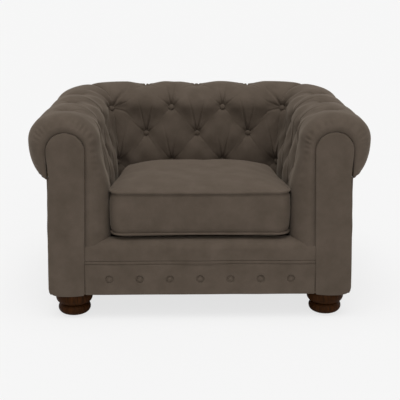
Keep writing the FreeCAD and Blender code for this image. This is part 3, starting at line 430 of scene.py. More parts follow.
def tufting(columns_in, travel, pitch, columns, side_sign, ease, draw):
    """How far the cover stands in from the outline, for columns counted from the mitre.

    Buttons sit where column plus row is odd. Two crossed sets of flutes make the diamonds between
    them, and one straight set goes on over the roll, shallower by its ease. Each button draws down
    a round dent.
    """
    column = np.minimum(columns_in, columns)
    row = np.interp(travel, ROW_LEVELS, [3, 2, 1, 0])
    puff = flute((column + row - 1) / 2) * flute((column - row + 1) / 2)
    over = np.clip((travel - ROW_LEVELS[3]) / (OUTLINE_END - ROW_LEVELS[3]), 0, 1)
    tufted = 1 - np.clip((columns_in - columns) * pitch / BAND_FADE, 0, 1)
    sink = FOLD_SINK * (1 - ease * np.sqrt(over)) * (1 - puff) * tufted
    for number in range(columns + 1):
        for rank, level in enumerate(ROW_LEVELS[::-1]):
            if (number + rank) % 2:
                side = side_sign * (columns_in - number) * pitch
                up = travel - level
                dent = np.exp(-(np.hypot(side, up) / DENT_RADIUS) ** 2)
                sink = sink + (BUTTON_SINK - FOLD_SINK) * dent + drawn_folds(side, up, draw) * tufted
    return sink


def padding_skins(track, columns_in, along, pitch, columns, side_sign, ease, full, slim, gather, seed):
    """Outer and inner points of the padding: from the arch towards the outline, by its fullness.

    The outer half of the roll is slimmer where slim is 1, which is at the rear corners.
    """
    travel = TRAVEL[None, :]
    reach, height = padding_line(travel)
    top = np.clip((reach - LEAN - ROLL_HALF) / ROLL_HALF, 0, 1) ** 2
    under = np.clip((reach - WALL) / CURL, 0, 1)
    outer_part = slim[:, None] * np.where(travel > ROLL_END, under, top)
    reach = reach - REAR_SLIM * outer_part
    height = height - REAR_DROP * outer_part
    inner_reach, inner_height = hollow_line(reach, height)
    thick = np.maximum(np.hypot(reach - inner_reach, height - inner_height), THINNEST)
    draw = np.random.default_rng(seed)
    sink = tufting(columns_in[:, None], travel, pitch, columns, side_sign, ease, draw)
    to_mitre = np.abs(columns_in[:, None]) * pitch * (1 + reach / CORNER)
    sink = np.maximum(sink, MITRE_SINK * np.exp(-to_mitre / MITRE_WIDTH)) - waves(along[:, None], travel)
    share = np.maximum(full[:, None] - (sink * full[:, None] + gather) / thick, LEAST_SHARE)
    reach = inner_reach + (reach - inner_reach) * share
    height = inner_height + (height - inner_height) * share
    return (set_out(track, reach, height),
            set_out(track, inner_reach[:, ::INNER_SKIP], inner_height[:, ::INNER_SKIP]))


def closed_skins(outer, inner):
    """A closed shell of an outer and an inner skin, joined along both edges and over both ends."""
    rows, across = outer.shape[:2]
    inner_across = inner.shape[1]
    start = rows * across
    faces = grid_faces(rows, across).tolist() + grid_faces(rows, inner_across, start)[:, ::-1].tolist()
    low = np.arange(rows - 1)
    for column, inner_column in ((0, 0), (across - 1, inner_across - 1)):
        edge = low * across + column
        inner_edge = start + low * inner_across + inner_column
        faces += np.stack([edge, edge + across, inner_edge + inner_across, inner_edge], -1).tolist()
    for row in (0, rows - 1):
        for step in range(inner_across - 1):
            first = row * across + INNER_SKIP * step
            inner_first = start + row * inner_across + step
            faces.append([*range(first, first + INNER_SKIP + 1), inner_first + 1, inner_first])
    return np.concatenate([outer.reshape(-1, 3), inner.reshape(-1, 3)]), faces


def finished_padding(name, skins, node):
    """The closed shell of the padding as a padded piece."""
    points, faces = closed_skins(*skins)
    piece = new_piece(name, points, faces, "upholstery", suede, node)


def arm_padding(name, side, seed, node):
    """One arm, from behind its facing to the mitre at the rear corner.

    Its front is rounded off as a quarter of a full ellipse, with short gathers beside the facing,
    and one crease runs over the roll where the plain band ends.
    """
    opening = FRONT_GAP + FRONT_ROUND * (1 - np.cos(np.linspace(0, np.pi / 2, FRONT_STEPS)))
    travel = np.concatenate([opening, np.linspace(opening[-1], ARM_STRAIGHT, ARM_STEPS)[1:],
                             np.linspace(ARM_STRAIGHT, ARM_MITRE, BEND_STEPS)[1:]])
    opened = np.clip((travel - FRONT_GAP + FRONT_EDGE) / FRONT_ROUND, 0, 1)
    full = np.sqrt(1 - (1 - opened) ** FRONT_POWER)
    slim = np.clip((travel - BAND_DEPTH) / REAR_RUN, 0, 1)
    crease = BAND_CREASE * np.exp(-np.abs(travel - BAND_DEPTH) / BAND_CREASE_WIDTH)
    window = np.exp(-((travel - GATHER_PLACE) / GATHER_WIDTH) ** 2)
    over = np.clip((TRAVEL - ROLL_LEVEL + GATHER_FADE) / GATHER_FADE, 0, 1)
    wave = np.sin(TRAVEL * GATHER_RATE + GATHER_DRIFT * np.sin(TRAVEL * GATHER_DRIFT_RATE + 2 * side))
    gather = GATHER_SINK * window[:, None] * (wave * over)[None, :] + crease[:, None]
    skins = padding_skins(arm_track(side, travel), (ARM_MITRE - travel) / ARM_PITCH, travel, ARM_PITCH,
                          ARM_COLUMNS, side, ARM_FOLD_EASE, full, slim, gather, seed)
    finished_padding(name, skins, node)


def back_padding(name, seed, node):
    """The back, from mitre to mitre."""
    bend = np.linspace(CORNER_X, BACK_MITRE, BEND_STEPS)[1:]
    travel = np.concatenate([-bend[::-1], np.linspace(-CORNER_X, CORNER_X, BACK_STEPS), bend])
    slim = eased(np.clip((np.abs(travel) - BACK_EVEN) / (BACK_MITRE - BACK_EVEN), 0, 1))
    skins = padding_skins(back_track(travel), (BACK_MITRE - np.abs(travel)) / BACK_PITCH,
                          travel + BACK_WAVES, BACK_PITCH, BACK_COLUMNS, 1, BACK_FOLD_EASE,
                          np.ones(len(travel)), slim, 0, seed)
    finished_padding(name, skins, node)


# Microfibre suede: a dense short nap that scatters light, so it is matt and brightens at grazing
# angles. The nap lies in faint patches; its fibres are drawn 1 mm coarse so that they show.
NAP_PATCH = 0.06
NAP_FIBRE = 0.0011
NAP_SHARE = 0.55
suede, tree, shader, place = new_finish("taupe_microfibre_suede", roughness=0.88, specular=0.18)
patch = add_node(tree, "ShaderNodeTexNoise", {"Vector": place, "Scale": 1 / NAP_PATCH, "Detail": 3.0,
                                              "Roughness": 0.6})
nap = add_node(tree, "ShaderNodeTexNoise", {"Vector": place, "Scale": 1 / NAP_FIBRE, "Detail": 2.0,
                                            "Roughness": 0.6})
patch_and_nap = add_node(tree, "ShaderNodeMath", {0: nap.outputs["Fac"], 1: NAP_SHARE,
                                                  2: patch.outputs["Fac"]},
                         operation="MULTIPLY_ADD")
shade_between(tree, shader, patch_and_nap.outputs[0], "4E443A", "5B5046", low=0.5, high=1.05)
raise_pattern(tree, shader, nap.outputs["Fac"], strength=0.25, height=0.0006)
shader.inputs["Sheen Weight"].default_value = 0.25
shader.inputs["Sheen Roughness"].default_value = 0.4
shader.inputs["Sheen Tint"].default_value = srgb("C9BBA9")

arm_padding("left_arm_padding", -1, 21, "left_arm_pad")
arm_padding("right_arm_padding", 1, 22, "right_arm_pad")
back_padding("back_padding", 23, "back_pad")

# Covered buttons
# Tin shells covered in the same suede, 22 mm across, on waxed cords that are tied to the frame.
# They are domed, and tilt with the padding under them.
BUTTON_RADIUS = 0.0112
BUTTON_DOME = 0.0062
BUTTON_SEAT = 0.001
SKIRT_SHARE = 0.25
SKIRT_TUCK = 0.96
GROOVE_PLACE = 0.72
GROOVE_WIDTH = 0.12
DOME_STEPS = 15
BUTTON_SIDES = 28


def domed_button(centre, facing, radius, dome, groove=0.0):
    """A dome carried round its middle: height falls as a half ellipse, with a groove near the rim."""
    facing = np.asarray(facing, float) / np.linalg.norm(facing)
    first = np.cross(facing, [0.0, 0.0, 1.0])
    first = first / np.linalg.norm(first)
    second = np.cross(facing, first)
    bend = np.linspace(0, np.pi / 2, DOME_STEPS)
    grooved = groove * np.exp(-((np.sin(bend) - GROOVE_PLACE) / GROOVE_WIDTH) ** 2)
    away = np.concatenate([radius * np.sin(bend), [radius * SKIRT_TUCK, 0.0]])
    height = np.concatenate([dome * np.cos(bend) - grooved, [-SKIRT_SHARE * dome] * 2])
    turn = np.linspace(0, 2 * np.pi, BUTTON_SIDES, endpoint=False)
    ring = away[:, None, None] * (np.cos(turn)[None, :, None] * first + np.sin(turn)[None, :, None] * second)
    points = np.asarray(centre) + ring + height[:, None, None] * facing
    return points.reshape(-1, 3), grid_faces(len(away), len(turn), wrap=True)


def button_set(name, places, node, radius, dome, groove=0.0):
    """All buttons of one group as one piece."""
    points, faces, start = [], [], 0
    for centre, facing in places:
        dots, quads = domed_button(centre, facing, radius, dome, groove)
        points.append(dots)
        faces += (quads + start).tolist()
        start += len(dots)
    return new_piece(name, np.concatenate(points), faces, "covered_button", suede, node)


def tuft_places(columns, track_at):
    """Where the buttons sit: on the outline's normal, sunk to the bottom of their dents."""
    places = []
    for number in columns:
        base, outward = (np.array([*pair, 0.0]) for pair in track_at(number))
        for rank, level in enumerate(ROW_LEVELS[::-1]):
            if (number + rank) % 2:
                line = np.array(padding_line(level))
                out = line - np.array(hollow_line(*line))
                out = out / np.linalg.norm(out)
                sunk = line - (BUTTON_SINK - BUTTON_SEAT) * out
                upward = np.array([0.0, 0.0, 1.0])
                places.append((base + sunk[0] * outward + sunk[1] * upward,
                               out[0] * outward + out[1] * upward))
    return places


for side, word in ((-1, "left"), (1, "right")):
    places = tuft_places(range(1, ARM_COLUMNS + 1),
                         lambda number: arm_track(side, ARM_MITRE - number * ARM_PITCH))
    button_set(word + "_arm_tuft_buttons", places, word + "_arm_buttons", BUTTON_RADIUS, BUTTON_DOME)
places = tuft_places(range(BACK_COLUMNS + 1), lambda number: back_track(BACK_MITRE - number * BACK_PITCH))
places += tuft_places(range(BACK_COLUMNS), lambda number: back_track(number * BACK_PITCH - BACK_MITRE))
button_set("back_tuft_buttons", places, "back_buttons", BUTTON_RADIUS, BUTTON_DOME)

# Deck and front lip
# Under the cushion is a flat sprung deck. In front of it a firm roll of hair, the lip, turns over the
# rail and ends in a flat strip between two rows of stitches.
DECK_TOP = 0.287
DECK_BASE = 0.212
DECK_REAR = 0.1795
DECK_GAP = 0.001
DECK_CROWN = 0.006
DECK_STEPS = 50
LIP_REACH = 0.402
LIP_FRONT = FRONT + 0.0005
LIP_BACK = FRONT + 0.070
LIP_TUCK = FRONT + 0.010
LIP_SHOULDER = 0.250
LIP_ROUND = 0.0455
LIP_POWER = 2 / 2.3
LIP_EDGE = 0.001
LIP_STEPS = 120
LIP_BEND_STEPS = 26
LIP_FRONT_STEPS = 60
LIP_UNEVEN = 0.9
LIP_WAVES = 0.5
LIP_WAVE_START = 0.3
STITCH_LEVELS = 0.2145, 0.2030
STITCH_WIDTH = 0.0011
STITCH_DEPTH = 0.0030
STRIP_END = 0.1995


def lip_profile():
    """Depth and height round the lip: a flat top, a rounded shoulder, and a front with two grooves."""
    bend = np.linspace(0, np.pi / 2, LIP_BEND_STEPS)
    shoulder = np.stack([LIP_FRONT + LIP_ROUND - LIP_ROUND * np.sin(bend) ** LIP_POWER,
                         LIP_SHOULDER + (DECK_TOP - LIP_SHOULDER) * np.cos(bend) ** LIP_POWER], -1)
    level = np.linspace(LIP_SHOULDER, STRIP_END, LIP_FRONT_STEPS)[1:]
    groove = sum(np.exp(-((level - stitch) / STITCH_WIDTH) ** 2) for stitch in STITCH_LEVELS)
    front = np.stack([LIP_FRONT + STITCH_DEPTH * groove, level], -1)
    under = [[LIP_TUCK, STRIP_END], [LIP_BACK, STRIP_END], [LIP_BACK, DECK_TOP - LIP_EDGE]]
    return np.concatenate([[[LIP_BACK, DECK_TOP]], shoulder, front, under])


def lip_skin():
    """The profile carried straight across, uneven by long waves, its ends closed at its middle."""
    profile = lip_profile()
    places = np.linspace(-LIP_REACH, LIP_REACH, LIP_STEPS)
    along = places[:, None] * LIP_WAVES + LIP_WAVE_START
    unevenness = waves(along, profile[None, :, 1] * LIP_WAVES) * LIP_UNEVEN
    rings = np.stack([np.broadcast_to(places[:, None], unevenness.shape), profile[:, 0] + unevenness,
                      np.broadcast_to(profile[:, 1], unevenness.shape)], -1)
    ends = np.broadcast_to(np.insert(profile.mean(0), 0, 0.0), rings[:1].shape).copy()
    return np.concatenate([ends - [LIP_REACH, 0, 0], rings, ends + [LIP_REACH, 0, 0]])


def closed_sheet(front, behind):
    """Faces and points of two equal grids, joined all round their rims."""
    rows, columns = front.shape[:2]
    start = rows * columns
    rim = np.concatenate([np.arange(columns), columns * np.arange(1, rows) + columns - 1,
                          columns * (rows - 1) + np.arange(columns - 2, -1, -1),
                          columns * np.arange(rows - 2, 0, -1)])
    after = np.roll(rim, -1)
    faces = np.concatenate([grid_faces(rows, columns), grid_faces(rows, columns, start)[:, ::-1],
                            np.stack([rim, after, after + start, rim + start], -1)])
    return np.concatenate([front.reshape(-1, 3), behind.reshape(-1, 3)]), faces.tolist()


skin = lip_skin()
lip = new_piece("front_lip_roll", skin, grid_faces(len(skin), skin.shape[1], wrap=True),
                "upholstery", suede, "front_lip")

# The deck's own cover is the same suede, pulled flat over cotton felt.
across = np.linspace(-1, 1, DECK_STEPS)[None, :]
along = np.linspace(-1, 1, DECK_STEPS)[:, None]
x = across * (SEAT_HALF - DECK_GAP) + 0 * along
y = (LIP_BACK + DECK_REAR) / 2 + along * (DECK_REAR - LIP_BACK) / 2 + 0 * across
rise = DECK_CROWN * (1 - across ** 4) * (1 - along ** 4)
points, faces = closed_sheet(np.stack([x, y, DECK_TOP - DECK_CROWN + rise], -1),
                             np.stack([x, y, np.full(x.shape, DECK_BASE)], -1))
deck = new_piece("sprung_deck", points, faces, "upholstery", suede, "deck_pad")

# Outside panels
# The outer walls of arms and back: suede over card and thin wadding, turned under the base and tucked
# up below the roll. The seams stand at the rear corners.
PANEL_LOW = 0.0885
PANEL_HIGH = 0.513
PANEL_THICK = 0.0062
PANEL_START = 0.012
PANEL_EDGE = 0.020
PANEL_FRONT = 0.025
SEAM_SINK = 0.005
SEAM_WIDTH = 0.006
PUFF = 0.0022
PUFF_RUN = 0.09
FLARE = 0.0085
FLARE_RUN = 0.40
FLARE_POWER = 0.6
PANEL_UNEVEN = 0.6
PANEL_LEVELS = 60
PANEL_EDGE_STEPS = 8
ARM_PANEL_STEPS = 90
BACK_PANEL_STEPS = 110
PANEL_BEND_STEPS = 34
WALL_BEND = 1 + WALL / CORNER


def quarter_fall(share):
    """How far a quarter circle has fallen: nought at the start, one at the end."""
    return 1 - np.sqrt(1 - share ** 2)


def outside_panel(name, track, ends, node):
    """A thin shell that follows the wall, puffed out a little between its edges."""
    level = np.linspace(0, 1, PANEL_LEVELS)
    height = PANEL_LOW + (PANEL_HIGH - PANEL_LOW) * level
    edge = np.minimum(np.minimum(level, 1 - level)[None, :] * (PANEL_HIGH - PANEL_LOW), ends[:, None])
    sunk = SEAM_SINK * quarter_fall(1 - np.clip(edge / SEAM_WIDTH, 0, 1))
    puff = PUFF * np.sqrt(np.clip(edge / PUFF_RUN, 0, 1))
    flare = FLARE * np.clip(1 - (height - PANEL_LOW) / FLARE_RUN, 0, 1) ** FLARE_POWER
    outer = WALL + flare[None, :] - sunk + puff + PANEL_UNEVEN * waves(ends[:, None], height[None, :])
    inner = np.full_like(outer, WALL - PANEL_THICK)
    points, faces = closed_sheet(set_out(track, outer, height), set_out(track, inner, height))
    piece = new_piece(name, points, faces, "upholstery", suede, node)


round_corner = EIGHTH * np.sin(np.linspace(0, np.pi / 2, PANEL_BEND_STEPS))[1:]
travel = np.concatenate([np.linspace(PANEL_START, PANEL_EDGE, PANEL_EDGE_STEPS),
                         np.linspace(PANEL_FRONT, ARM_STRAIGHT, ARM_PANEL_STEPS),
                         ARM_STRAIGHT + round_corner])
to_seam = (ARM_MITRE - np.maximum(travel, ARM_STRAIGHT)) * WALL_BEND
to_seam = np.minimum(travel - PANEL_START, to_seam + np.maximum(ARM_STRAIGHT - travel, 0))
outside_panel("left_outside_cover", arm_track(-1, travel), to_seam, "left_outside_panel")
outside_panel("right_outside_cover", arm_track(1, travel), to_seam, "right_outside_panel")
bend = CORNER_X + round_corner
travel = np.concatenate([-bend[::-1], np.linspace(-CORNER_X, CORNER_X, BACK_PANEL_STEPS), bend])
to_seam = (BACK_MITRE - np.maximum(np.abs(travel), CORNER_X)) * WALL_BEND
to_seam = to_seam + np.maximum(CORNER_X - np.abs(travel), 0)
outside_panel("outside_back_cover", back_track(travel), to_seam, "outside_back_panel")

# Arm facings
# A board cut to the arm's front, padded with thin wadding, wrapped in suede and nailed on over the
# ends of the arm covers. It has no piping, only the fine line where it presses into the padding.
FACING_MIDDLE = 0.4565
FACING_RADIUS = 0.0655
FACING_LOW = 0.088
FACING_BACK = FRONT + 0.0118
FACING_EDGE = 0.004
FACING_DOME = 0.0018
FACING_DOME_RUN = 0.03
FACING_DOME_POWER = 0.6
FACING_FACE = 0.0045
FACING_UNEVEN = 0.8
FACING_RIM = 0.99
SPINE_RISE = 0.06
INNER_FOOT = 0.4055
OUTER_FOOT = 0.5315
MIDDLE_FOOT = 0.464
WAIST = 0.5160
WAIST_LEVEL = 0.505
WAIST_POWER = 1.6
FOOT_CORNER = 0.026
FOOT_LIFT = 0.002
FOOT_SAG = 0.0055
FOOT_SAG_HALF = 0.062
INNER_CORNER = 0.004
FACING_FOOT_STEPS = 14
FACING_BEND_STEPS = 12
FACING_RETURN_STEPS = 12
FACING_SIDE_STEPS = 60
FACING_ARCH_STEPS = 56
FACING_EDGE_RINGS = 9
FACING_FACE_RINGS = 24


def sagging_foot(x):
    """The facing's lower edge, which sags as a parabola between its corners."""
    sag = FOOT_SAG * np.clip(1 - ((x - MIDDLE_FOOT) / FOOT_SAG_HALF) ** 2, 0, 1)
    return np.stack([x, FACING_LOW - sag], -1)


def facing_outline():
    """Round the facing: its foot, outer corner, waisted side, arch and straight inner side."""
    foot = np.linspace(MIDDLE_FOOT, OUTER_FOOT - FOOT_CORNER, FACING_FOOT_STEPS)[:-1]
    bend = np.linspace(-np.pi / 2, 0, FACING_BEND_STEPS)
    corner_level = FACING_LOW + FOOT_CORNER + FOOT_CORNER * np.sin(bend) - FOOT_LIFT * (1 - np.cos(bend))
    side_level = np.linspace(FACING_LOW + FOOT_CORNER, ARCH_LEVEL, FACING_SIDE_STEPS)[1:-1]
    to_waist = np.clip((side_level - FACING_LOW) / (WAIST_LEVEL - FACING_LOW), 0, 1)
    above_waist = np.clip((side_level - WAIST_LEVEL) / (ARCH_LEVEL - WAIST_LEVEL), 0, 1)
    outer = (OUTER_FOOT - (OUTER_FOOT - WAIST) * to_waist ** WAIST_POWER
             + (FACING_MIDDLE + FACING_RADIUS - WAIST) * eased(above_waist))
    arch = np.linspace(0, np.pi, FACING_ARCH_STEPS)
    down = np.linspace(ARCH_LEVEL, FACING_LOW + INNER_CORNER, FACING_SIDE_STEPS)[1:]
    climb = (down - FACING_LOW) / (ARCH_LEVEL - FACING_LOW)
    inner = INNER_FOOT - (INNER_FOOT - FACING_MIDDLE + FACING_RADIUS) * climb
    back = np.linspace(INNER_FOOT + INNER_CORNER, MIDDLE_FOOT, FACING_RETURN_STEPS)[:-1]
    return np.concatenate([
        sagging_foot(foot),
        np.stack([OUTER_FOOT - FOOT_CORNER + FOOT_CORNER * np.cos(bend), corner_level], -1),
        np.stack([outer, side_level], -1),
        np.stack([FACING_MIDDLE + FACING_RADIUS * np.cos(arch),
                  ARCH_LEVEL + FACING_RADIUS * np.sin(arch)], -1),
        np.stack([inner, down], -1),
        sagging_foot(back)])


def arm_facing(name, side, node):
    """Rings of the outline, shrunk towards a line down its middle, with a rounded, domed front."""
    outline = facing_outline()
    spine = np.stack([np.interp(outline[:, 1], [FACING_LOW, ARCH_LEVEL], [MIDDLE_FOOT, FACING_MIDDLE]),
                      np.clip(outline[:, 1], FACING_LOW + SPINE_RISE, ARCH_LEVEL)], -1)
    inward = np.concatenate([np.linspace(0, FACING_EDGE, FACING_EDGE_RINGS),
                             np.linspace(FACING_FACE, FACING_RADIUS, FACING_FACE_RINGS)])
    share = 1 - inward / FACING_RADIUS
    front = FRONT + FACING_EDGE * quarter_fall(1 - np.clip(inward / FACING_EDGE, 0, 1))
    front = front - FACING_DOME * np.clip(inward / FACING_DOME_RUN, 0, 1) ** FACING_DOME_POWER
    share = np.concatenate([[0.0], share[:1], share])[:, None]
    depth = np.concatenate([[FACING_BACK, FACING_BACK], front])[:, None]
    x = spine[:, 0] + (outline - spine)[:, 0] * share
    z = spine[:, 1] + (outline - spine)[:, 1] * share
    y = depth + FACING_UNEVEN * waves(x + side, z) * (share < FACING_RIM)
    piece = new_piece(name, np.stack([side * x, y, z], -1), grid_faces(*x.shape, wrap=True),
                      "upholstery", suede, node)


arm_facing("left_arm_facing", -1, "left_facing")
arm_facing("right_arm_facing", 1, "right_facing")

# Front band
# A flat covered board across the base, between the facings, with seven buttons pressed flat into it.
BAND_LOW = 0.0885
BAND_REACH = 0.4035
BAND_FRONT = FRONT + 0.0005
BAND_BACK = FRONT + 0.0118
BAND_OVERLAP = 0.0012
BAND_TOP_EDGE = 0.002
BAND_TOP_DEPTH = 0.003
BAND_FACE = 0.004
BAND_LOW_EDGE = 0.006
BAND_END_EDGE = 0.004
BAND_UNEVEN = 0.5
BAND_WAVES = 0.6
BAND_EDGE_STEPS = 6
BAND_FACE_STEPS = 60
BAND_BEND_STEPS = 9
BAND_STEPS = 504
BAND_BUTTONS = 7
BAND_SPACING = 0.106
BAND_BUTTON_LEVEL = 0.147
BAND_BUTTON_RADIUS = 0.0115
BAND_BUTTON_DOME = 0.0036
BAND_BUTTON_GROOVE = 0.0022
PIT_RADIUS = 0.0125
PIT_SLOPE = 0.0025
PIT_DEPTH = 0.0042


def front_band(middles):
    """A sheet over a board: flat, rounded at its edges, and pressed in at every button."""
    bend = np.linspace(0, np.pi / 2, BAND_BEND_STEPS)[1:]
    top, face = STRIP_END + BAND_OVERLAP, STRIP_END - BAND_FACE
    level = np.concatenate([np.linspace(top, STRIP_END - BAND_TOP_EDGE, BAND_EDGE_STEPS),
                            np.linspace(face, BAND_LOW + BAND_LOW_EDGE, BAND_FACE_STEPS),
                            BAND_LOW + BAND_LOW_EDGE * np.cos(bend)])
    x = np.linspace(-BAND_REACH, BAND_REACH, BAND_STEPS)[:, None]
    low_edge = np.clip((BAND_LOW + BAND_LOW_EDGE - level) / BAND_LOW_EDGE, 0, 1)
    top_edge = np.clip((level - STRIP_END + BAND_TOP_EDGE) / (BAND_TOP_EDGE + BAND_OVERLAP), 0, 1)
    ends = np.clip((np.abs(x) - BAND_REACH + BAND_END_EDGE) / BAND_END_EDGE, 0, 1)
    y = (BAND_FRONT + BAND_LOW_EDGE * quarter_fall(low_edge) + BAND_TOP_DEPTH * quarter_fall(top_edge)
         + BAND_END_EDGE * quarter_fall(ends) - BAND_UNEVEN * waves(x * BAND_WAVES, level))
    for middle in middles:
        away = np.hypot(x - middle, level - BAND_BUTTON_LEVEL)
        y = y + PIT_DEPTH * np.clip((PIT_RADIUS + PIT_SLOPE - away) / PIT_SLOPE, 0, 1)
    skin = np.stack([np.broadcast_to(x, y.shape), y, np.broadcast_to(level, y.shape)], -1)
    behind = skin.copy()
    behind[..., 1] = BAND_BACK
    points, faces = closed_sheet(skin, behind)
    piece = new_piece("front_band_cover", points, faces, "upholstery", suede, "front_band")


middles = (np.arange(BAND_BUTTONS) - BAND_BUTTONS // 2) * BAND_SPACING
front_band(middles)
places = [((middle, FRONT + PIT_DEPTH, BAND_BUTTON_LEVEL), (0, -1, 0)) for middle in middles]
button_set("band_flat_buttons", places, "band_buttons", BAND_BUTTON_RADIUS, BAND_BUTTON_DOME,
           BAND_BUTTON_GROOVE)

# Seat cushion
# A loose boxed cushion: a foam block in feather and fibre, in a suede cover of top, bottom and a
# boxing strip, with piping in both seams. It lies on the deck and lifts off.
CUSHION_HALF = 0.312
CUSHION_FRONT = -0.431
CUSHION_REAR = 0.170
CUSHION_LOW = 0.2875
CUSHION_CORNER = 0.046
CUSHION_MIDDLE = (CUSHION_FRONT + CUSHION_REAR) / 2
CUSHION_DEPTH = (CUSHION_REAR - CUSHION_FRONT) / 2
PULL_IN = 0.007
REAR_TAPER = 0.17
TAPER_START = -0.10
REAR_CUT = 0.05
SEAM_LOW = 0.305
SEAM_HIGH = 0.454
SEAM_FALL_RUN = 0.40
SEAM_DIP = 0.0025
SEAM_DIP_HALF = 0.25
SEAM_DIP_RUN = 0.03
SEAM_GROOVE = 0.0032
GROOVE_AT = 0.045
GROOVE_SPREAD = 0.04
CREST = 0.475
CROWN_RUN = 0.19
CROWN_POWER = 2.2
REAR_SINK = 0.036
REAR_SLOPE = 0.5
SLOPE_START = -0.09
SLOPE_RUN = 0.24
BOW = 0.0075
BOW_POWER = 0.7
BASE_RUN = 0.018
TOP_PUCKER = 0.0009
TOP_PUCKER_START = 0.004
TOP_PUCKER_RUN = 0.022
SIDE_PUCKER = 0.0008
SIDE_PUCKER_START = 0.03
SIDE_PUCKER_RUN = 0.12
PUCKER_RATES = 0.37, 0.61, 0.83, 1.13
CROWN_WAVES = 0.8
WAVE_FADE = 1 / 6
CORNER_STEPS = 24
RUN_STEPS = 110
RING_STEPS = 60
BOXING_STEPS = 40
PIPING_RADIUS = 0.0040
PIPING_STAND = 0.0022
PIPING_SIDES = 14


def cushion_outline():
    """Round the cushion in plan: a rounded rectangle, tapered to the rear, its sides pulled in."""
    corner = CUSHION_CORNER
    bend = np.linspace(0, np.pi / 2, CORNER_STEPS)
    inner_x, inner_y = CUSHION_HALF - corner, CUSHION_DEPTH - corner
    run_x = np.linspace(-inner_x, inner_x, RUN_STEPS)[1:-1]
    run_y = np.linspace(-inner_y, inner_y, RUN_STEPS)[1:-1]
    half_x, half_y = np.full(RUN_STEPS - 2, CUSHION_HALF), np.full(RUN_STEPS - 2, CUSHION_DEPTH)
    out, back = corner * np.sin(bend), corner * np.cos(bend)
    x = np.concatenate([inner_x + out, half_x, inner_x + back, -run_x,
                        -inner_x - out, -half_x, -inner_x - back, run_x])
    y = np.concatenate([-inner_y - back, run_y, inner_y + out, half_y,
                        inner_y + back, -run_y, -inner_y - out, -half_y])
    pulled_x = PULL_IN / CUSHION_HALF * np.clip(1 - (y / CUSHION_DEPTH) ** 2, 0, 1)
    pulled_y = PULL_IN / CUSHION_DEPTH * np.clip(1 - (x / CUSHION_HALF) ** 2, 0, 1)
    rear = np.clip((y - TAPER_START) / (CUSHION_DEPTH - TAPER_START), 0, 1)
    cut = (y > 0) * REAR_CUT * (x / CUSHION_HALF) ** 4
    return x * (1 - pulled_x - REAR_TAPER * rear ** 2), CUSHION_MIDDLE + y * (1 - pulled_y - cut)


def seam_drop(x, y):
    """The upper seam sinks towards the rear, and dips a little between the front corners."""
    rear = np.clip((y - CUSHION_FRONT) / SEAM_FALL_RUN, 0, 1)
    dip = np.clip(1 - (x / SEAM_DIP_HALF) ** 2, 0, 1) * (y < CUSHION_FRONT + SEAM_DIP_RUN)
    return REAR_SINK * eased(rear) + SEAM_DIP * dip


def drawn_in(x, y, share):
    """The outline drawn in towards the cushion's middle, by one share for each ring."""
    return x * (1 - share), CUSHION_MIDDLE + (y - CUSHION_MIDDLE) * (1 - share)


def cushion_skin():
    """Rings round the cushion: in over the crowned top, down the bowed boxing, in under the base.

    The crown rises from every side as one minus a power, less so to the rear. Puckers beside the
    seams are a sum of four sines.
    """
    out_x, out_y = cushion_outline()
    reach = np.hypot(out_x, out_y - CUSHION_MIDDLE)
    seam = SEAM_HIGH - seam_drop(out_x, out_y)
    draw = np.random.default_rng(5)
    pucker = sum(np.sin(np.arange(len(out_x)) * rate + draw.uniform(0, 6)) for rate in PUCKER_RATES)
    pucker = pucker / len(PUCKER_RATES)
    inward = 1 - np.cos(np.linspace(0, np.pi / 2, RING_STEPS))[:, None]

    share = inward[::-1]
    x, y = drawn_in(out_x, out_y, share)
    side_run = np.clip((CUSHION_HALF - np.abs(x)) / CROWN_RUN, 0, 1)
    end_run = np.clip((CUSHION_DEPTH - np.abs(y - CUSHION_MIDDLE)) / CROWN_RUN, 0, 1)
    rise = (1 - (1 - side_run) ** CROWN_POWER) * (1 - (1 - end_run) ** CROWN_POWER)
    rise = rise * (1 - REAR_SLOPE * np.clip((y - SLOPE_START) / SLOPE_RUN, 0, 1) ** 2)
    beside_seam = np.exp(-share * reach / TOP_PUCKER_RUN) * (1 - np.exp(-share * reach / TOP_PUCKER_START))
    uneven = waves(y * CROWN_WAVES, x * CROWN_WAVES) * np.minimum(share / WAVE_FADE, 1)
    top = np.stack([x, y, seam + (CREST - seam) * rise + TOP_PUCKER * pucker * beside_seam + uneven], -1)

    share = np.linspace(0, 1, BOXING_STEPS)[1:-1, None]
    bow = BOW * (4 * share * (1 - share)) ** BOW_POWER
    tuck = SEAM_GROOVE * (np.exp(-((share - GROOVE_AT) / GROOVE_SPREAD) ** 2)
                          + np.exp(-((1 - share - GROOVE_AT) / GROOVE_SPREAD) ** 2))
    beside_seam = np.exp(-share / SIDE_PUCKER_RUN) + np.exp(-(1 - share) / SIDE_PUCKER_RUN)
    beside_seam = beside_seam * (1 - np.exp(-np.minimum(share, 1 - share) / SIDE_PUCKER_START))
    x, y = drawn_in(out_x, out_y, -(bow - tuck + SIDE_PUCKER * pucker * beside_seam) / reach)
    level = seam * (1 - share) + SEAM_LOW * share
    sides = np.stack([x, y, level + waves(out_x, out_y)], -1)

    x, y = drawn_in(out_x, out_y, inward)
    sag = (SEAM_LOW - CUSHION_LOW) * (1 - np.exp(-inward * reach / BASE_RUN))
    return np.concatenate([top, sides, np.stack([x, y, SEAM_LOW - sag], -1)])


skin = cushion_skin()
cushion = new_piece("seat_cushion_cover", skin, grid_faces(len(skin), skin.shape[1], wrap=True),
                    "upholstery", suede, "seat_cushion", body="cushion")


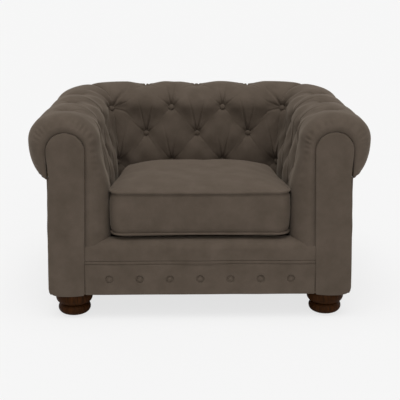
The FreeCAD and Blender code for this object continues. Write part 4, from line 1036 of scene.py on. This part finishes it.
def piping(name, level, drop, node):
    """A round cord carried round the outline, standing a little outside the seam."""
    path = np.stack([*cushion_outline(), level - drop], -1)
    ahead = np.roll(path, -1, 0) - np.roll(path, 1, 0)
    ahead = ahead / np.linalg.norm(ahead, axis=1)[:, None]
    upward = np.array([0.0, 0.0, 1.0])
    outward = np.cross(ahead, upward)
    turn = np.linspace(0, 2 * np.pi, PIPING_SIDES, endpoint=False)[:, None, None]
    points = path + PIPING_STAND * outward + PIPING_RADIUS * (np.cos(turn) * outward + np.sin(turn) * upward)
    points = np.concatenate([points, points[:1]])
    new_piece(name, points, grid_faces(len(points), len(path), wrap=True), "piping", suede, node,
              body="cushion")


drop = seam_drop(*cushion_outline())
piping("top_piping", SEAM_HIGH, drop, "cushion_top_piping")
piping("bottom_piping", SEAM_LOW, 0 * drop, "cushion_bottom_piping")

# Camera, floor and lamps
# The photograph is taken from a little left of the chair's middle, from standing height, with a
# long lens. The floor and the backdrop are the same pale paper, under broad soft lamps.
PAPER = "F6F6F6"
PAPER_GLOW = 0.8
FLOOR_HALF = 40.0
AIR_LIGHT = 0.31
CAMERA_PLACE = -0.0638, -3.6544, 1.310
CAMERA_TIP = 15.3
CAMERA_TURN = -1.0
camera = bpy.data.objects.new("camera", bpy.data.cameras.new("camera"))
bpy.context.scene.collection.objects.link(camera)
camera.data.lens = 87.3
camera.data.sensor_width = 36
camera.location = CAMERA_PLACE
camera.rotation_euler = (math.radians(90 - CAMERA_TIP), 0, math.radians(CAMERA_TURN))
camera.data.shift_x = 0.005
bpy.context.scene.camera = camera
bpy.context.scene.view_settings.view_transform = "Standard"

# Pale paper: matt, and lit a little of itself for the camera's own rays, so that it keeps its white
# and the chair keeps its shadow.
floor_mesh = bpy.data.meshes.new("floor")
floor_mesh.from_pydata([(-FLOOR_HALF, -FLOOR_HALF, 0), (FLOOR_HALF, -FLOOR_HALF, 0),
                        (FLOOR_HALF, FLOOR_HALF, 0), (-FLOOR_HALF, FLOOR_HALF, 0)], [], [(0, 1, 2, 3)])
floor = bpy.data.objects.new("floor", floor_mesh)
bpy.context.scene.collection.objects.link(floor)
pale_paper, tree, shader, place = new_finish("pale_paper", roughness=0.95, specular=0.1)
shader.inputs["Base Color"].default_value = srgb(PAPER)
rays = add_node(tree, "ShaderNodeLightPath")
glow = add_node(tree, "ShaderNodeEmission", {"Color": srgb(PAPER), "Strength": 1.0})
glow_share = add_node(tree, "ShaderNodeMath", {0: rays.outputs["Is Camera Ray"], 1: PAPER_GLOW},
                      operation="MULTIPLY")
paper = add_node(tree, "ShaderNodeMixShader", {"Fac": glow_share.outputs[0], 1: shader.outputs["BSDF"],
                                               2: glow.outputs["Emission"]})
tree.links.new(paper.outputs[0], tree.nodes["Material Output"].inputs["Surface"])
floor_mesh.materials.append(pale_paper)


def sun(name, turn, lift, spread, strength):
    """A wide soft lamp, far away: turn is its compass angle from the front, lift its height."""
    lamp = bpy.data.objects.new(name, bpy.data.lights.new(name, "SUN"))
    bpy.context.scene.collection.objects.link(lamp)
    lamp.data.energy = strength
    lamp.data.angle = math.radians(spread)
    lamp.rotation_euler = (math.radians(90 - lift), 0, math.radians(turn))


sun("key_lamp", turn=-12, lift=80, spread=50, strength=2.05)
sun("fill_lamp", turn=8, lift=30, spread=50, strength=0.55)

# The air lights the chair softly from all round; the camera and reflections see plain paper.
world = bpy.data.worlds.new("studio")
bpy.context.scene.world = world
world.use_nodes = True
tree = world.node_tree
rays = add_node(tree, "ShaderNodeLightPath")
seen = add_node(tree, "ShaderNodeMath", {0: rays.outputs["Is Camera Ray"],
                                         1: rays.outputs["Is Glossy Ray"]}, operation="MAXIMUM")
air = add_node(tree, "ShaderNodeBackground", {"Color": srgb(PAPER), "Strength": AIR_LIGHT})
backdrop = add_node(tree, "ShaderNodeBackground", {"Color": srgb(PAPER), "Strength": 1.0})
air_or_backdrop = add_node(tree, "ShaderNodeMixShader", {"Fac": seen.outputs[0], 1: air.outputs[0],
                                                         2: backdrop.outputs[0]})
tree.links.new(air_or_backdrop.outputs[0], tree.nodes["World Output"].inputs["Surface"])
